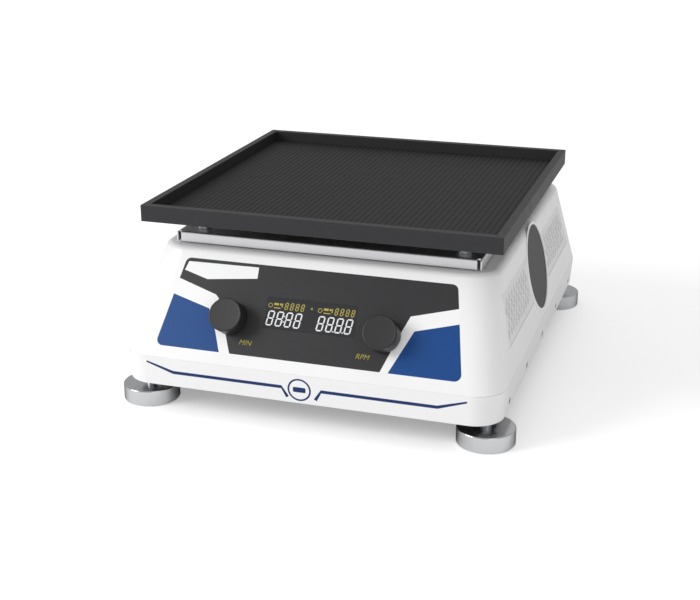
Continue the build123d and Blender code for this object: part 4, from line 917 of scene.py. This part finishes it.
class SHAKER_OT_feet(bpy.types.Operator):
    """Turns the four disc feet and their threaded studs"""

    bl_idname = "shaker.feet"
    bl_label = "Feet"

    def execute(self, context):
        # Radius and height, from the edge on the bench to the dish round the stud
        disc_profile = [
            (26.2, 0.0), (27.0, 0.25), (27.4, 0.9), (27.4, 14.6), (27.25, 15.1), (26.9, 15.45),
            (26.4, 15.6), (9.4, 15.6), (9.0, 15.4), (5.05, 15.4),
        ]
        # The thread starts on a thin rim and is drawn as rings one pitch apart.
        root, crest = THREAD_RADII
        stud_profile = [(root + 0.1, THREAD_LOW)]
        for turn in range(THREAD_TURNS):
            base = THREAD_LOW + turn * THREAD_PITCH
            stud_profile.append((root, base))
            stud_profile += [(crest, base + share * THREAD_PITCH) for share in THREAD_CREST]
        stud_profile.append((root, THREAD_LOW + THREAD_TURNS * THREAD_PITCH))
        for corner in CORNERS:
            low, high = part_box(f"foot_disc_{corner}")
            centre = ((low.x + high.x) / 2, (low.y + high.y) / 2, 0)
            disc = settle(turned_piece(f"foot_disc_{corner}_turned", disc_profile, 128), centre)
            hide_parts(f"foot_disc_{corner}")
            # The sides keep the painted dark reflection at a slant; the faces looking up take a copy that
            # stays bright there.
            steel = turned_steel(f"turned_foot_{corner}", linear("#DEDFE1"), centre)
            faced = turned_steel(f"faced_foot_{corner}", linear("#DCDDDF"), centre, (0.2, 0.3), FACED_TINT)
            dress(disc, f"foot_{corner}", "foot_steel", steel, faced)
            for face in disc.data.polygons:
                if face.normal.z > 0.9:
                    face.material_index = 1
            thread = settle(turned_piece(f"foot_thread_{corner}", stud_profile, 40), centre)
            stud_metal = turned_steel(f"threaded_stud_{corner}", linear("#A9ABAE"), centre, (0.25, 0.4))
            dress(thread, f"stud_{corner}", "stud_steel", stud_metal)
            finish_node(f"foot_stud_{corner}", stud_metal)
        return {"FINISHED"}


class SHAKER_OT_screws(bpy.types.Operator):
    """Makes the ten socket-head screws of the skirt"""

    bl_idname = "shaker.screws"
    bl_label = "Skirt screws"

    def execute(self, context):
        # Radius and distance from the head's face, which the hexagon socket is then cut into
        profile = [(3.3, -1.6), (3.5, -1.4), (3.5, -0.35), (3.35, -0.08), (3.1, 0.0), (0.2, 0.0)]
        head = turned_piece("screw_head", profile, 32)
        bpy.ops.mesh.primitive_cylinder_add(vertices=6, radius=1.5 * MM, depth=2.0 * MM, location=(0, 0, 0))
        cutter = bpy.context.object
        activate(head)
        socket = head.modifiers.new("socket", "BOOLEAN")
        socket.object = cutter
        socket.operation = "DIFFERENCE"
        bpy.ops.object.modifier_apply(modifier="socket")
        bpy.data.objects.remove(cutter)
        low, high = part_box("skirt_screws")
        height = (low.z + high.z) / 2
        heads = []
        for name, side in SIDES.items():
            for index in range(SCREWS_A_SIDE):
                along = (index - (SCREWS_A_SIDE - 1) / 2) * SCREW_SPACING
                twin = copy_of(head, f"screw_head_{name}_{index}")
                heads.append(settle(twin, (side * high.x, along, height), (0, side * pi / 2, 0)))
        bpy.data.objects.remove(head)
        screws = join_pieces("skirt_screw_heads", heads)
        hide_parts("skirt_screws")
        dress(screws, "root", "screw_black", cast_metal("blackened_screw", linear("#262628"), 0.42))
        return {"FINISHED"}


class SHAKER_OT_mains(bpy.types.Operator):
    """Finishes the mains inlet, the switch and its two marks"""

    bl_idname = "shaker.mains"
    bl_label = "Mains parts"

    def execute(self, context):
        black = moulded_plastic("moulded_socket_black", linear("#232325"), 0.5, 0.5)
        nickel = turned_steel("nickel_blade", linear("#C8C4B8"))
        inlet = merged_copy("power_inlet", "power_inlet_moulded", edge=0.2 * MM)
        dress(inlet, "root", "socket_black", black, nickel)
        half_width, half_height = BLADE_HALVES
        inner, outer = BLADE_DEPTHS
        for face in inlet.data.polygons:
            x, y, z = face.center
            for across, up in BLADES:
                if abs(x - across) < half_width and abs(z - up) < half_height and inner < y < outer:
                    face.material_index = 1
        switch = merged_copy("switch_frame", "switch_frame_moulded", edge=0.3 * MM)
        dress(switch, "root", "socket_black", black)
        rocker = merged_copy("power_rocker", "power_rocker_moulded", edge=0.5 * MM, segments=3)
        satin = moulded_plastic("moulded_rocker_black", linear("#1D1D1F"), 0.25)
        dress(rocker, "rocker", "rocker_black", satin)
        lift = sizes().print_lift
        wide, high = ROCKER_MARK_HALVES
        on_mark = flat_piece("rocker_mark_on", box_outline(-wide, -high, wide, high), lift)
        off_mark = ring_piece("rocker_mark_off", high, ROCKER_RING_LINE, lift)
        ink = printed_film("pad_print_white", colours().film_white)
        for mark, half in ((on_mark, 1), (off_mark, -1)):
            # Each mark lies on the middle of its half of the rocker's hollow face.
            out = ROCKER_FACE_OUT * cos(ROCKER_TILT) + half * ROCKER_HALF * sin(ROCKER_TILT)
            up = half * ROCKER_HALF * cos(ROCKER_TILT) - ROCKER_FACE_OUT * sin(ROCKER_TILT)
            place = ROCKER_PIVOT + Vector((0, out, up))
            settle(mark, place, (pi / 2 + ROCKER_TILT + half * ROCKER_FACE_LEAN, 0, pi))
            dress(mark, "rocker", "panel_film", ink)
        return {"FINISHED"}


class SHAKER_OT_chassis(bpy.types.Operator):
    """Gives the base plate, the drive and the inner parts their finishes"""

    bl_idname = "shaker.chassis"
    bl_label = "Chassis and drive"

    def execute(self, context):
        machined = (
            "spindle", "crank_plate", "motor_shaft", "knob_shaft_left", "knob_shaft_right", "chassis_screws",
            "board_screws", "tray_fasteners", *(f"idler_crank_{corner}" for corner in CORNERS),
        )
        light = (
            "drive_pulley", "motor_pulley", "idler_posts", "centre_bearing_cup", "idler_bearing_cups",
            "encoder_left", "encoder_right", "power_supply",
        )
        bearings = ("spindle_bearings", "idler_bearings", "centre_bearing", "cup_bearings")
        rotors = ("encoder_rotor_left", "encoder_rotor_right")
        finishes = {
            spangled_zinc(): ["motor_bracket"],
            # The base plate is coloured near black as painted shade for the dark underside of the body.
            moulded_plastic("black_base_painted_shade", linear("#1B1B1D"), 0.5, 0.7, 0.03): ["base_plate"],
            brushed_sheet("machined_steel", linear("#8E9093"), 2, (0.3, 0.42)): machined,
            brushed_sheet("machined_aluminium", linear("#C4C6C9"), 2, (0.3, 0.42)): light,
            turned_steel("ground_bearing_steel", linear("#B5B8BC")): bearings,
            cast_metal("cast_iron", linear("#5C5D5F"), 0.5): ["spindle_housing", "counterweight"],
            cast_metal("enamelled_motor", linear("#2A2A2D"), 0.35): ["motor"],
            moulded_plastic("ribbed_belt_rubber", linear("#202022"), 0.6, 0.6, 0.03): ["drive_belt"],
            moulded_plastic("circuit_board_resin", linear("#1F5B36"), 0.4, 2.0): ["control_board"],
            moulded_plastic("moulded_rotor", linear("#D7D5C8"), 0.45): rotors,
            moulded_plastic("display_block_plastic", linear("#29292B"), 0.4): ["display_module"],
        }
        for material, names in finishes.items():
            for name in names:
                finish_node(name, material)
        return {"FINISHED"}


class SHAKER_OT_studio(bpy.types.Operator):
    """Builds the pale floor, the soft lights and the camera"""

    bl_idname = "shaker.studio"
    bl_label = "Studio"

    def execute(self, context):
        scene = context.scene
        scene.view_settings.view_transform = "Standard"
        self.floor()
        self.world(scene)
        for name, setting in LAMPS.items():
            self.lamp(scene, name, *setting)
        camera = bpy.data.cameras.new("photo_camera")
        camera.lens = CAMERA_LENS
        camera.shift_x, camera.shift_y = CAMERA_SHIFT
        holder = bpy.data.objects.new("photo_camera", camera)
        holder.location = CAMERA_PLACE
        holder.rotation_euler = [radians(angle) for angle in CAMERA_TURN]
        scene.collection.objects.link(holder)
        scene.camera = holder
        return {"FINISHED"}

    def floor(self):
        bpy.ops.object.select_all(action="DESELECT")
        bpy.ops.mesh.primitive_plane_add(size=FLOOR_SIZE, location=(0, 0, -FLOOR_GAP))
        floor = bpy.context.object
        floor.name = "studio_floor"
        grey = linear("#F6F6F6")
        material, tree, shader = start_material("matt_floor", grey, 0, 0.9, Specular_IOR_Level=0.1)
        place = add_node(tree, "ShaderNodeTexCoord").outputs["Object"]
        reach = add_node(tree, "ShaderNodeVectorMath", {0: place}, operation="LENGTH").outputs["Value"]
        strength = add_node(tree, "ShaderNodeMapRange", {"Value": reach, **FLOOR_GLOW})
        seen = add_node(tree, "ShaderNodeEmission", {"Strength": strength})
        to_camera = add_node(tree, "ShaderNodeLightPath").outputs["Is Camera Ray"]
        glow = add_node(tree, "ShaderNodeMixShader", {0: to_camera, 2: seen})
        total = add_node(tree, "ShaderNodeAddShader", {0: shader, 1: glow})
        tree.links.new(total.outputs[0], tree.nodes["Material Output"].inputs["Surface"])
        floor.data.materials.append(material)

    def world(self, scene):
        world = bpy.data.worlds.new("studio_world")
        world.use_nodes = True
        tree = world.node_tree
        white = (1, 1, 1, 1)
        light = tree.nodes["Background"]
        light.inputs["Color"].default_value = white
        light.inputs["Strength"].default_value = WORLD_LIGHT
        seen = add_node(tree, "ShaderNodeBackground", {"Color": white, "Strength": WORLD_SEEN})
        mirrored = add_node(tree, "ShaderNodeBackground", {"Color": white, "Strength": WORLD_MIRRORED})
        rays = add_node(tree, "ShaderNodeLightPath").outputs
        lit = add_node(tree, "ShaderNodeMixShader", {0: rays["Is Glossy Ray"], 1: light, 2: mirrored})
        mix = add_node(tree, "ShaderNodeMixShader", {0: rays["Is Camera Ray"], 1: lit, 2: seen})
        tree.links.new(mix.outputs[0], tree.nodes["World Output"].inputs["Surface"])
        scene.world = world

    def lamp(self, scene, name, place, aim, width, power):
        light = bpy.data.lights.new(name, "AREA")
        light.shape = "DISK"
        light.size = width
        light.energy = power
        holder = bpy.data.objects.new(name, light)
        holder.location = place
        holder.rotation_euler = (Vector(aim) - Vector(place)).to_track_quat("-Z", "Y").to_euler()
        scene.collection.objects.link(holder)


OPERATORS = (
    SHAKER_OT_studio,
    SHAKER_OT_housing,
    SHAKER_OT_film,
    SHAKER_OT_display,
    SHAKER_OT_knobs,
    SHAKER_OT_side_covers,
    SHAKER_OT_stripe,
    SHAKER_OT_tray,
    SHAKER_OT_feet,
    SHAKER_OT_screws,
    SHAKER_OT_mains,
    SHAKER_OT_chassis,
)


class SHAKER_PT_panel(bpy.types.Panel):
    """The shaker's sizes, colours and steps in the sidebar"""

    bl_idname = "SHAKER_PT_panel"
    bl_label = "Orbital Shaker"
    bl_space_type = "VIEW_3D"
    bl_region_type = "UI"
    bl_category = "Shaker"

    def draw(self, context):
        for group in (context.scene.shaker_sizes, context.scene.shaker_colours):
            column = self.layout.column()
            for name in group.__annotations__:
                column.prop(group, name)
        for operator in OPERATORS:
            self.layout.operator(operator.bl_idname)


CLASSES = (ShakerColours, ShakerSizes, *OPERATORS, SHAKER_PT_panel)


def register():
    for cls in CLASSES:
        bpy.utils.register_class(cls)
    bpy.types.Scene.shaker_colours = bpy.props.PointerProperty(type=ShakerColours)
    bpy.types.Scene.shaker_sizes = bpy.props.PointerProperty(type=ShakerSizes)


def unregister():
    del bpy.types.Scene.shaker_sizes
    del bpy.types.Scene.shaker_colours
    for cls in reversed(CLASSES):
        bpy.utils.unregister_class(cls)


def main():
    register()
    for operator in OPERATORS:
        group, name = operator.bl_idname.split(".")
        getattr(getattr(bpy.ops, group), name)()


if __name__ == "__main__":
    main()
